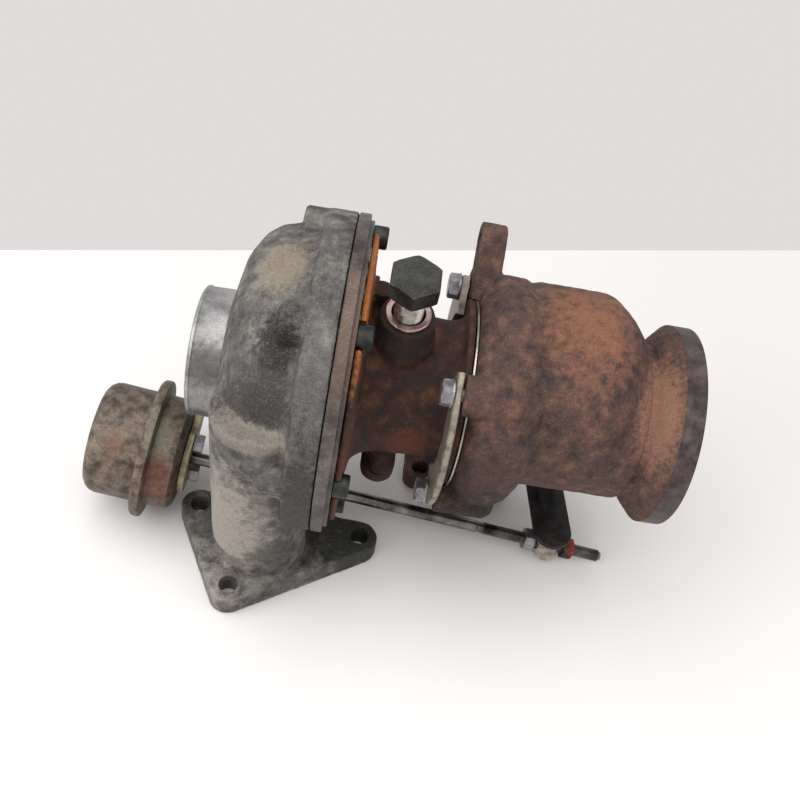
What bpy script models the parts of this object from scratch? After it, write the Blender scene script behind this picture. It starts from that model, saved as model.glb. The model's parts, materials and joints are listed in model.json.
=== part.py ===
"""Exhaust turbocharger with an internal wastegate and its pressure actuator.

The castings are modelled about the shaft: X runs along the shaft from the compressor to the turbine,
Z is up, and the origin is on the shaft at the seam between the compressor cover and the backplate.
The actuator and its rod lean down a little towards the turbine and have a frame of their own.
All sizes below are in millimetres; mesh_object and place turn them into metres.
"""

import math

import bmesh
import bpy
from mathutils import Matrix, Vector

MM = 0.001
GAP = 0.3  # left between two pieces that touch
RUNNING = 0.45  # between a turning wheel and its housing
SMOOTH = 24  # sides of a large round piece
FINE = 12  # sides of a small one
SMALL = 8  # sides of a screw or a rod
ARC_STEP = math.radians(22.5)
OFF_EDGE = 7.0  # degrees
WELD = 0.0005

# Overall
SHAFT_HEIGHT = 96.0  # shaft above the face that the turbocharger stands on
SEAM_RADIUS = 69.7  # rim of the compressor cover and of the backplate
OUTLET_FLANGE_RADIUS = 44.1  # clamp-band flange at the turbine outlet
OUTLET_FACE = 150.0  # its face along the shaft

# Compressor side
COVER_DEPTH = 46.0
COVER_RIM = 8.0
VOLUTE_RADIUS = 62.0
VOLUTE_WALL = 4.5
INLET_LENGTH = 14.0
INLET_RADIUS = 28.6
INLET_BORE = 24.6
SPIGOT_RADIUS = 56.0  # step of the backplate that centres the cover
SPIGOT_LENGTH = 4.2
BACKPLATE_THICKNESS = 6.5
COVER_BOLTS = 6
COVER_BOLT_CIRCLE = 61.0
COVER_BOLT_FIRST_ANGLE = 30.0
BOLT_EAR_LENGTH = 22.5
CAP_HEAD_RADIUS = 4.9
CAP_HEAD_LENGTH = 6.5
M6_RADIUS = 3.0
THREAD_ROOM = 0.35  # between a screw and its hole

DUCT_TOP = (-24.0, -42.0, 7.0)
DUCT_FOOT = (-22.0, -37.0)
DUCT_RADIUS = 20.0
DUCT_BORE = 15.0
FLANGE_HOLES = ((-55.4, -21.1), (-33.3, -62.4), (23.1, -25.7))
FLANGE_CORNER = 9.0
FLANGE_THICKNESS = 12.0
FLANGE_HOLE_RADIUS = 4.5

# Rotor
WHEEL_BACK = -3.5
WHEEL_RADIUS = 26.0
WHEEL_EYE = 19.0
WHEEL_LENGTH = 29.5
WHEEL_TIP_WIDTH = 5.0
COMPRESSOR_BLADES = 12
THIN_SHAFT = 2.7
THICK_SHAFT = 4.0
SHAFT_BOSS = 8.0
TURBINE_BACK = 58.3
TURBINE_RADIUS = 24.6
TURBINE_EYE = 18.3
TURBINE_LENGTH = 23.7
TURBINE_INLET_WIDTH = 8.2
TURBINE_BLADES = 10

# Bearing housing
HOUSING_FLANGE_RADIUS = 64.0
HOUSING_FLANGE_THICKNESS = 3.0
HOUSING_RADIUS = 30.5
BEARING_BORE = 7.5
TURBINE_JOINT = 54.5  # right face of the housing, along the shaft
JOINT_FLANGE_RADIUS = 41.5
JOINT_FLANGE_THICKNESS = 3.2
OIL_LINE = 25.5  # the oil inlet and drain along the shaft
OIL_LEAN = 10.0  # degrees that the oil inlet leans to the front
OIL_BOSS_RADIUS = 11.5
OIL_BOSS_HEIGHT = 48.6
OIL_BOLT_RADIUS = 6.0
OIL_BOLT_HEAD_AF = 19.0
OIL_BOLT_HEAD_BASE = 64.5
OIL_BOLT_HEAD_HEIGHT = 8.0
DRAIN_DEPTH = 48.0
DRAIN_THICKNESS = 8.0
DRAIN_WIDTH = 16.0
DRAIN_SCREW_SPACING = 36.0
DRAIN_BORE = 5.5
JOURNAL_LENGTH = 7.0
JOURNAL_STARTS = (18.0, 39.0)
CIRCLIP_STARTS = (25.5, 37.3)
CIRCLIP_THICKNESS = 1.2

# Turbine side
CLAMP_BOLT_CIRCLE = 45.5
CLAMP_BOLT_ANGLES = (45.0, 135.0, 225.0, 315.0)
CLAMP_PLATE_THICKNESS = 2.7
CLAMP_PLATE_INNER = 33.5
CLAMP_PLATE_OUTER = 51.0
CLAMP_HEAD_AF = 10.0
CLAMP_HEAD_HEIGHT = 5.4
SHIELD_THICKNESS = 0.7
HOUSING_FACE = 55.8
BODY_LEAN = (0.735, 0.676)  # the turbine body sits off the shaft in this direction (y, z)
DRUM_OFFSET = 3.0
DRUM_RADIUS = 51.3
CHAMBER_OFFSET = 8.8
CHAMBER_RADIUS = 44.8
CHAMBER_WALL = 4.5
CHAMBER_END = 118.0
BULKHEAD = 88.5
NECK_RADIUS = 34.5
OUTLET_BORE = 29.5
OUTLET_RIM = 8.7
TURBINE_INLET = (70.0, 42.0)
TURBINE_INLET_RADIUS = 16.0
TURBINE_INLET_BORE = 11.5
INLET_FLANGE = (56.0, 52.0)
INLET_FLANGE_THICKNESS = 10.0
INLET_FLANGE_HOLES = (40.0, 36.0)
LUG_ANGLE = 317.5
LUG_REACH = 66.0
LUG_WIDTH = 18.0
LUG_THICKNESS = 11.7
LUG_START = 52.3

# Wastegate and linkage
ACTUATOR_ORIGIN = (-80.0, -8.8, -62.5)  # centre of the can's rolled rim
ACTUATOR_PITCH = 6.6  # degrees down towards the turbine
ACTUATOR_YAW = 1.1  # degrees to the front
TRUNNION_DISTANCE = 198.3  # from the can's rim along the rod
TRUNNION_RADIUS = 6.3
TRUNNION_HEIGHT = 13.0
TRUNNION_BORE = 3.75
TRUNNION_COLLAR = 7.8
LEVER_RADIUS = 38.0
LEVER_REST = 6.8  # degrees between the lever and the square to the rod
LEVER_WIDTH = 19.0
LEVER_THICKNESS = 3.0
LEVER_HEIGHT = 8.6  # underside of the lever above the middle of the trunnion
SPINDLE_RADIUS = 4.0
BUSH_WALL = 1.9
BUSH_ROOM = 0.3
BOSS_FOOT = -62.0
BOSS_RADIUS = 9.0
BUSH_TOP = -32.0
SPINDLE_TOP = -12.0
VALVE_OFFSET = (-7.5, -16.0)
VALVE_HEIGHT = -25.0
VALVE_RADIUS = 8.0
VALVE_THICKNESS = 3.0
PORT_RADIUS = 7.2
PORT_BORE = 5.2
ARM_THICKNESS = 4.5
ARM_HALF_WIDTH = 5.5
STEM_RADIUS = 2.5

# Actuator, along its own axis from the rolled rim
CAN_RADIUS = 26.5
CAN_WALL = 1.5
CAN_CAP_LENGTH = 27.0
CAN_BODY_LENGTH = 15.0
CAN_CORNER = 5.0
NIPPLE_DROP = 40.0  # degrees below level, to the back
RIM_RADIUS = 33.0
RIM_SHEET = 1.0
DIAPHRAGM_THICKNESS = 0.8
PISTON_RADIUS = 18.5
PISTON_REST = -21.5
PISTON_SKIRT = 13.0
SPRING_RADIUS = 12.0
SPRING_WIRE = 1.2
SPRING_TURNS = 5
ROD_RADIUS = 3.0
ROD_TIP = 226.5
ROD_SWAY = 3.5  # room for the rod as its far end swings on the lever
NUT_AF = 10.0
NUT_THICKNESS = 5.0
NUT_FACE = 7.6  # from the middle of the trunnion
BRACKET_THICKNESS = 3.0
BRACKET_DISC = 17.0
BRACKET_ANGLE = 35.0
BRACKET_FOOT = 27.0
BRACKET_BOLTS = (39.0, 58.5)
BRACKET_HALF_WIDTH = 9.0

MATERIALS = {
    "cast_aluminium": ((0.20, 0.19, 0.18), 0.65, 0.6),
    "machined_aluminium": ((0.45, 0.46, 0.47), 0.35, 1.0),
    "turned_steel": ((0.32, 0.31, 0.30), 0.35, 1.0),
    "zinc_steel": ((0.42, 0.42, 0.40), 0.40, 1.0),
    "black_steel": ((0.02, 0.02, 0.02), 0.45, 0.6),
    "spring_steel": ((0.25, 0.25, 0.26), 0.35, 1.0),
    "bearing_bronze": ((0.45, 0.26, 0.10), 0.35, 1.0),
    "rusty_iron": ((0.13, 0.055, 0.03), 0.85, 0.2),
    "scaled_iron": ((0.14, 0.07, 0.05), 0.85, 0.2),
    "clamp_steel": ((0.40, 0.34, 0.26), 0.55, 0.7),
    "stained_steel": ((0.18, 0.14, 0.10), 0.70, 0.4),
    "green_steel": ((0.05, 0.07, 0.06), 0.55, 0.5),
    "copper": ((0.45, 0.26, 0.20), 0.40, 1.0),
    "rubber": ((0.02, 0.02, 0.02), 0.80, 0.0),
}


def clear_scene():
    for obj in list(bpy.data.objects):
        bpy.data.objects.remove(obj)


def mesh_object(name, bm):
    """Turns a closed mesh in millimetres into an object in metres, with its faces pointing out."""
    bmesh.ops.remove_doubles(bm, verts=bm.verts, dist=WELD)
    bmesh.ops.recalc_face_normals(bm, faces=bm.faces)
    bmesh.ops.scale(bm, vec=(MM, MM, MM), verts=bm.verts)
    mesh = bpy.data.meshes.new(name)
    bm.to_mesh(mesh)
    bm.free()
    obj = bpy.data.objects.new(name, mesh)
    bpy.context.scene.collection.objects.link(obj)
    return obj


def place(obj, material, parent, location=(0, 0, 0), turn=(0, 0, 0)):
    """Hangs a finished piece on its parent at a place in millimetres and a turn in radians."""
    mesh = obj.data
    mesh.materials.clear()
    mesh.materials.append(bpy.data.materials[material])
    if obj.type == "MESH":
        mesh.shade_smooth()
        mesh.set_sharp_from_angle(angle=math.radians(35))
    obj.parent = parent
    obj.location = Vector(location) * MM
    obj.rotation_euler = turn
    return obj


def reshape(obj, matrix):
    """Moves the mesh itself by a matrix whose shift is in millimetres."""
    in_metres = matrix.copy()
    in_metres.translation = matrix.translation * MM
    obj.data.transform(in_metres)
    return obj


def triangulate(obj):
    """Leaves only flat faces, which keeps the Booleans exact."""
    bm = bmesh.new()
    bm.from_mesh(obj.data)
    bmesh.ops.remove_doubles(bm, verts=bm.verts, dist=WELD * MM)
    bmesh.ops.dissolve_degenerate(bm, edges=bm.edges, dist=WELD * MM)
    bmesh.ops.triangulate(bm, faces=bm.faces)
    bm.to_mesh(obj.data)
    bm.free()


def combine(target, tool, operation):
    """Joins or cuts the target by the tool, which is used up."""
    triangulate(target)
    triangulate(tool)
    modifier = target.modifiers.new("shape", "BOOLEAN")
    modifier.operation = operation
    modifier.object = tool
    modifier.solver = "EXACT"
    graph = bpy.context.evaluated_depsgraph_get()
    shaped = bpy.data.meshes.new_from_object(target.evaluated_get(graph))
    target.modifiers.remove(modifier)
    before = target.data
    target.data = shaped
    bpy.data.meshes.remove(before)
    shaped.name = target.name
    bpy.data.objects.remove(tool)
    return target


def fuse(target, *tools):
    for tool in tools:
        combine(target, tool, "UNION")
    return target


def cut(target, *tools):
    for tool in tools:
        combine(target, tool, "DIFFERENCE")
    return target


def turned(name, profile, sides=SMOOTH):
    """A turned piece about X, from (x, radius) points; a profile that starts on the axis ends there."""
    bm = bmesh.new()
    verts = [bm.verts.new((x, 0, radius)) for x, radius in profile]
    pairs = list(zip(verts, verts[1:]))
    if profile[0][1] > 0:
        pairs.append((verts[-1], verts[0]))
    edges = [bm.edges.new(pair) for pair in pairs]
    bmesh.ops.spin(
        bm,
        geom=verts + edges,
        cent=(0, 0, 0),
        axis=(1, 0, 0),
        angle=2 * math.pi,
        steps=sides,
        use_merge=True,
    )
    return mesh_object(name, bm)


def cylinder(name, radius, low, high, sides=SMALL):
    """A round bar along X, turned a little so that its edges miss those of the piece it joins or cuts."""
    bar = turned(name, [(low, 0), (low, radius), (high, radius), (high, 0)], sides)
    return reshape(bar, Matrix.Rotation(math.radians(OFF_EDGE), 4, "X"))


def extruded(name, outline, low, high, axis="X"):
    """A flat outline pulled from low to high. It lies in (y, z) for axis X and in (x, y) for axis Z."""
    bm = bmesh.new()
    corners = [(low, a, b) if axis == "X" else (a, b, low) for a, b in outline]
    face = bm.faces.new([bm.verts.new(corner) for corner in corners])
    pulled = bmesh.ops.extrude_face_region(bm, geom=[face])["geom"]
    along = Vector((high - low, 0, 0)) if axis == "X" else Vector((0, 0, high - low))
    bmesh.ops.translate(bm, vec=along, verts=[v for v in pulled if isinstance(v, bmesh.types.BMVert)])
    return mesh_object(name, bm)


def block(name, low, high):
    outline = [(low[1], low[2]), (high[1], low[2]), (high[1], high[2]), (low[1], high[2])]
    return extruded(name, outline, low[0], high[0])


def funnel(name, foot, foot_radius, top, top_radius, sides=SMOOTH):
    """A straight tube solid between two level circles."""
    bm = bmesh.new()
    rings = []
    for centre, radius in ((foot, foot_radius), (top, top_radius)):
        ring = []
        for i in range(sides):
            angle = 2 * math.pi * i / sides
            offset = Vector((math.cos(angle), math.sin(angle), 0)) * radius
            ring.append(bm.verts.new(Vector(centre) + offset))
        rings.append(ring)
    bm.faces.new(rings[0])
    bm.faces.new(rings[1])
    for i in range(sides):
        following = (i + 1) % sides
        bm.faces.new((rings[0][i], rings[0][following], rings[1][following], rings[1][i]))
    return mesh_object(name, bm)


def hexagon(across_flats):
    corner = across_flats / math.sqrt(3)
    return [
        (corner * math.cos(math.radians(60 * i)), corner * math.sin(math.radians(60 * i))) for i in range(6)
    ]


def rounded(centres, radius):
    """The outline round circles of one radius at the centres, which run anticlockwise."""
    outline = []
    for i, centre in enumerate(centres):
        arriving = Vector(centre) - Vector(centres[i - 1])
        leaving = Vector(centres[(i + 1) % len(centres)]) - Vector(centre)
        first = math.atan2(arriving.y, arriving.x)
        sweep = (math.atan2(leaving.y, leaving.x) - first) % (2 * math.pi)
        steps = max(1, round(sweep / ARC_STEP))
        for k in range(steps + 1):
            angle = first - math.pi / 2 + sweep * k / steps
            outline.append((centre[0] + radius * math.cos(angle), centre[1] + radius * math.sin(angle)))
    return outline


def around(radius, degrees):
    """The (y, z) place at a distance from the shaft, turned from the top towards the front."""
    angle = math.radians(degrees)
    return -radius * math.sin(angle), radius * math.cos(angle)


def shifted(x=0.0, y=0.0, z=0.0):
    return Matrix.Translation((x, y, z))


def pointing(direction, origin=(0, 0, 0)):
    """The frame whose X runs along a direction from an origin."""
    return Matrix.Translation(origin) @ Vector(direction).to_track_quat("X", "Z").to_matrix().to_4x4()


def oil_frame():
    """The frame whose X runs up the oil inlet from the shaft."""
    _, up = around(1, OIL_LEAN)
    front, _ = around(1, OIL_LEAN)
    return pointing((0, front, up), (OIL_LINE, 0, 0))


def actuator_frame():
    """The frame whose X runs down the actuator rod from the middle of the can's rolled rim."""
    turn = Matrix.Rotation(math.radians(-ACTUATOR_YAW), 4, "Z") @ Matrix.Rotation(
        math.radians(ACTUATOR_PITCH), 4, "Y"
    )
    return Matrix.Translation(ACTUATOR_ORIGIN) @ turn


def trunnion_centre():
    return actuator_frame() @ Vector((TRUNNION_DISTANCE, 0, 0))


def lever_pivot():
    angle = math.radians(LEVER_REST)
    back = Vector((-math.sin(angle), math.cos(angle), 0)) * LEVER_RADIUS
    return trunnion_centre() + back


def shroud(start, end, radial_first):
    """Points of a quarter ellipse between two (x, radius) points: the line that blade tips follow."""
    points = []
    for k in range(4):
        angle = math.pi / 2 * k / 3
        if radial_first:
            along, across = 1 - math.cos(angle), math.sin(angle)
        else:
            along, across = math.sin(angle), 1 - math.cos(angle)
        points.append((start[0] + (end[0] - start[0]) * along, start[1] + (end[1] - start[1]) * across))
    return points


def compressor_tips():
    tip = (WHEEL_BACK - 1 - WHEEL_TIP_WIDTH, WHEEL_RADIUS)
    return shroud((WHEEL_BACK - WHEEL_LENGTH + 3, WHEEL_EYE), tip, False)


def turbine_tips():
    inlet = (TURBINE_BACK + 2 + TURBINE_INLET_WIDTH, TURBINE_RADIUS)
    return shroud(inlet, (TURBINE_BACK + TURBINE_LENGTH, TURBINE_EYE), True)


def opened(points, room):
    """Moves a line of blade tips away from the blades."""
    ends = [(points[max(i - 1, 0)], points[min(i + 1, len(points) - 1)]) for i in range(len(points))]
    moved = []
    for (x, radius), (before, after) in zip(points, ends):
        along = Vector((after[0] - before[0], after[1] - before[1])).normalized()
        moved.append((x - along.y * room, radius + along.x * room))
    return moved


def blades(name, count, roots, tips, wrap, thickness):
    """Blades that sweep round the hub from their roots to their tips, as one mesh of separate solids."""
    bm = bmesh.new()
    stations = len(roots)
    for blade in range(count):
        rings = []
        for i, (root, tip) in enumerate(zip(roots, tips)):
            angle = 2 * math.pi * blade / count + wrap * (i / (stations - 1)) ** 1.4
            ring = []
            for (x, radius), side in ((root, -1), (root, 1), (tip, 1), (tip, -1)):
                turn = angle + side * thickness / 2 / radius
                ring.append(bm.verts.new((x, radius * math.sin(turn), radius * math.cos(turn))))
            rings.append(ring)
        bm.faces.new(rings[0])
        bm.faces.new(rings[-1])
        for near, far in zip(rings, rings[1:]):
            for k in range(4):
                following = (k + 1) % 4
                bm.faces.new((near[k], near[following], far[following], far[k]))
    return mesh_object(name, bm)


def screw(name, head, shank_radius, head_length, length):
    """A screw along X: the head lies behind the origin and the shank runs along +X from it."""
    body = extruded(name, head, -head_length, 0)
    return fuse(body, cylinder("shank", shank_radius, -1, length))


def circle(radius, sides=SMALL):
    return [
        (radius * math.cos(2 * math.pi * i / sides), radius * math.sin(2 * math.pi * i / sides)) for i in range(
            sides
        )
    ]


def copies(mesh_source, names):
    """Further objects with the first one's mesh."""
    made = [mesh_source]
    for name in names:
        obj = bpy.data.objects.new(name, mesh_source.data)
        bpy.context.scene.collection.objects.link(obj)
        made.append(obj)
    return made


def cover_bolt_places():
    step = 360 / COVER_BOLTS
    return [around(COVER_BOLT_CIRCLE, COVER_BOLT_FIRST_ANGLE + step * i) for i in range(COVER_BOLTS)]


def clamp_bolt_places():
    return [around(CLAMP_BOLT_CIRCLE, angle) for angle in CLAMP_BOLT_ANGLES]


def bracket_bolt_places():
    """The bracket's bolts in the actuator frame, as (y, z)."""
    angle = math.radians(BRACKET_ANGLE)
    return [(reach * math.cos(angle), reach * math.sin(angle)) for reach in BRACKET_BOLTS]


def compressor_cover(root):
    """Die-cast scroll: inlet spigot, scroll body, bolt ears, outlet duct and its three-hole flange."""
    seam = -GAP
    front = -COVER_DEPTH
    lip = front - INLET_LENGTH
    body = turned(
        "compressor_cover",
        [
            (seam, 0),
            (seam, SEAM_RADIUS),
            (-COVER_RIM, SEAM_RADIUS),
            (-COVER_RIM - 3, VOLUTE_RADIUS + 1.5),
            (-0.49 * COVER_DEPTH, VOLUTE_RADIUS),
            (-0.67 * COVER_DEPTH, VOLUTE_RADIUS - 2.6),
            (-0.80 * COVER_DEPTH, VOLUTE_RADIUS - 7),
            (-0.92 * COVER_DEPTH, VOLUTE_RADIUS - 15.6),
            (-0.965 * COVER_DEPTH, VOLUTE_RADIUS - 24.6),
            (front, INLET_RADIUS + 1.6),
            (front, INLET_RADIUS),
            (lip + 1.5, INLET_RADIUS),
            (lip, INLET_RADIUS - 1.4),
            (lip, 0),
        ],
    )
    for y, z in cover_bolt_places():
        ear = cylinder("ear", SEAM_RADIUS - COVER_BOLT_CIRCLE - 0.1, -BOLT_EAR_LENGTH, seam, FINE)
        fuse(body, reshape(ear, shifted(0, y, z)))
    foot = (*DUCT_FOOT, -SHAFT_HEIGHT + 1)
    fuse(body, funnel("duct", foot, DUCT_RADIUS - 0.5, DUCT_TOP, DUCT_RADIUS))
    outline = rounded(FLANGE_HOLES, FLANGE_CORNER)
    fuse(body, extruded("flange", outline, -SHAFT_HEIGHT, FLANGE_THICKNESS - SHAFT_HEIGHT, "Z"))
    frame = actuator_frame()
    boss_start = BRACKET_FOOT + BRACKET_THICKNESS + GAP
    for y, z in bracket_bolt_places():
        boss = cylinder("boss", BRACKET_HALF_WIDTH - 1.5, boss_start, boss_start + 20, FINE)
        fuse(body, reshape(boss, frame @ shifted(0, y, z)))

    wheel_side = opened(compressor_tips(), RUNNING)
    diffuser = wheel_side[-1][0] + 1
    scroll_outer = VOLUTE_RADIUS - VOLUTE_WALL
    air = [
        (lip - 1, 0),
        (lip - 1, INLET_BORE + 1),
        (lip + 2, INLET_BORE),
        (front + 2, 0.86 * INLET_BORE),
        *wheel_side,
        (diffuser, WHEEL_RADIUS + 2.5),
        (diffuser, 39),
        (-0.26 * COVER_DEPTH, 37.5),
        (-0.57 * COVER_DEPTH, 37.5),
        (-0.72 * COVER_DEPTH, 42),
        (-0.76 * COVER_DEPTH, 47.5),
        (-0.68 * COVER_DEPTH, 54),
        (-0.50 * COVER_DEPTH, scroll_outer),
        (-SPIGOT_LENGTH - 6, scroll_outer - 0.6),
        (-SPIGOT_LENGTH - 1.6, SPIGOT_RADIUS + GAP),
        (1, SPIGOT_RADIUS + GAP),
        (1, 0),
    ]
    cut(body, turned("air_path", air))
    bore_foot = (*DUCT_FOOT, -SHAFT_HEIGHT - 1)
    bore_top = (DUCT_TOP[0], DUCT_TOP[1] + 2, -30)
    cut(body, funnel("duct_bore", bore_foot, DUCT_BORE, bore_top, DUCT_BORE, FINE))
    for x, y in FLANGE_HOLES:
        hole = funnel(
            "hole", (x, y, -SHAFT_HEIGHT - 1), FLANGE_HOLE_RADIUS, (x, y, -80), FLANGE_HOLE_RADIUS, SMALL
        )
        cut(body, hole)
    for y, z in cover_bolt_places():
        hole = cylinder("hole", M6_RADIUS + THREAD_ROOM, -12 - GAP, 1)
        cut(body, reshape(hole, shifted(0, y, z)))
    for y, z in bracket_bolt_places():
        hole = cylinder("hole", M6_RADIUS + THREAD_ROOM, boss_start - 1, boss_start + 9)
        cut(body, reshape(hole, frame @ shifted(0, y, z)))
    relief = cylinder("rod_relief", ROD_RADIUS + ROD_SWAY, 30, 120, FINE)
    cut(body, reshape(relief, frame))
    place(body, "cast_aluminium", root)


def backplate(root):
    """Steel plate that closes the scroll and carries the cover's bolts."""
    left = -SPIGOT_LENGTH
    groove = SPIGOT_RADIUS - 2.2
    plate = turned(
        "backplate",
        [
            (-1.8, SHAFT_BOSS),
            (WHEEL_BACK + RUNNING, 12),
            (WHEEL_BACK + RUNNING, WHEEL_RADIUS + 0.7),
            (left, WHEEL_RADIUS + 0.7),
            (left, SPIGOT_RADIUS),
            (-3.0, SPIGOT_RADIUS),
            (-3.0, groove),
            (-1.2, groove),
            (-1.2, SPIGOT_RADIUS),
            (0, SPIGOT_RADIUS),
            (0, SEAM_RADIUS),
            (BACKPLATE_THICKNESS, SEAM_RADIUS),
            (BACKPLATE_THICKNESS, SHAFT_BOSS),
        ],
    )
    for y, z in cover_bolt_places():
        hole = cylinder("hole", M6_RADIUS + THREAD_ROOM, -6, BACKPLATE_THICKNESS + 1)
        cut(plate, reshape(hole, shifted(0, y, z)))
    relief = cylinder("rod_relief", ROD_RADIUS + ROD_SWAY, 60, 120, FINE)
    cut(plate, reshape(relief, actuator_frame()))
    place(plate, "turned_steel", root)

    ring = turned("cover_seal_ring", [(-2.1 + 0.75 * math.cos(a), groove + 1.1 + 0.75 * math.sin(a)) for a in
                                      [math.radians(60 * i) for i in range(6)]])
    place(ring, "rubber", root)


def cover_bolts(root):
    """Six cap screws, heads on the turbine side of the backplate."""
    first = screw(
        "cover_bolt_1", circle(CAP_HEAD_RADIUS, 16), M6_RADIUS, CAP_HEAD_LENGTH, BACKPLATE_THICKNESS + 11
    )
    socket = extruded("socket", hexagon(5), -CAP_HEAD_LENGTH - 1, -CAP_HEAD_LENGTH + 4)
    cut(first, socket)
    names = [f"cover_bolt_{i}" for i in range(2, COVER_BOLTS + 1)]
    for bolt, (y, z) in zip(copies(first, names), cover_bolt_places()):
        place(bolt, "green_steel", root, (BACKPLATE_THICKNESS + GAP, y, z), (0, 0, math.pi))


def rotor(axis):
    """Everything that spins: turbine wheel and shaft, compressor wheel, nut, oil flinger, thrust collar."""
    bore = THIN_SHAFT + GAP
    eye_front = WHEEL_BACK - WHEEL_LENGTH
    hub = turned(
        "compressor_wheel",
        [
            (eye_front, bore),
            (eye_front, 6),
            (eye_front + 8, 6.8),
            (eye_front + 15, 9),
            (eye_front + 21, 13),
            (WHEEL_BACK - 2.6, 18.5),
            (WHEEL_BACK - 1.2, WHEEL_RADIUS),
            (WHEEL_BACK, WHEEL_RADIUS),
            (WHEEL_BACK, bore),
        ],
    )
    start = compressor_tips()[0][0]
    roots = shroud((start, 5.4), (WHEEL_BACK - 0.7, WHEEL_RADIUS - 0.1), False)
    fuse(hub, blades("blades", COMPRESSOR_BLADES, roots, compressor_tips(), math.radians(-48), 0.9))
    place(hub, "machined_aluminium", axis)

    nut = extruded("rotor_nut", hexagon(9), eye_front - GAP - 5, eye_front - GAP)
    cut(nut, cylinder("bore", bore, eye_front - 10, 0))
    place(nut, "turned_steel", axis)

    flinger = turned(
        "oil_flinger",
        [(-3.2, bore), (-3.2, SHAFT_BOSS - 0.4), (7, SHAFT_BOSS - 0.4), (7, 11), (9.1, 11), (9.1, bore)],
        FINE,
    )
    place(flinger, "turned_steel", axis)

    collar = turned(
        "thrust_collar",
        [
            (9.4, bore), (9.4, 9.5), (10.6, 9.5), (10.6, 5.9), (13.5, 5.9), (13.5, 9.5), (14.9, 9.5), (14.9, bore)
        ],
        FINE,
    )
    place(collar, "turned_steel", axis)

    nose = TURBINE_BACK + TURBINE_LENGTH
    shaft = turned(
        "turbine_shaft",
        [
            (eye_front - 8.5, 0),
            (eye_front - 8.5, THIN_SHAFT - 0.5),
            (eye_front - 8, THIN_SHAFT),
            (15.2, THIN_SHAFT),
            (15.2, THICK_SHAFT),
            (49.8, THICK_SHAFT),
            (49.8, SHAFT_BOSS),
            (51.6, SHAFT_BOSS),
            (51.6, 6.6),
            (53.4, 6.6),
            (53.4, SHAFT_BOSS),
            (TURBINE_BACK, SHAFT_BOSS),
            (TURBINE_BACK, TURBINE_RADIUS - 1),
            (TURBINE_BACK + 1.8, TURBINE_RADIUS - 1),
            (TURBINE_BACK + 5, 16),
            (TURBINE_BACK + 12, 9),
            (nose, 6.5),
            (nose + 3, 4),
            (nose + 3, 0),
        ],
    )
    roots = shroud((TURBINE_BACK + 1.4, TURBINE_RADIUS - 1.6), (nose, 5.6), True)
    fuse(shaft, blades("blades", TURBINE_BLADES, roots, turbine_tips(), math.radians(28), 1.2))
    place(shaft, "scaled_iron", axis)


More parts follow.
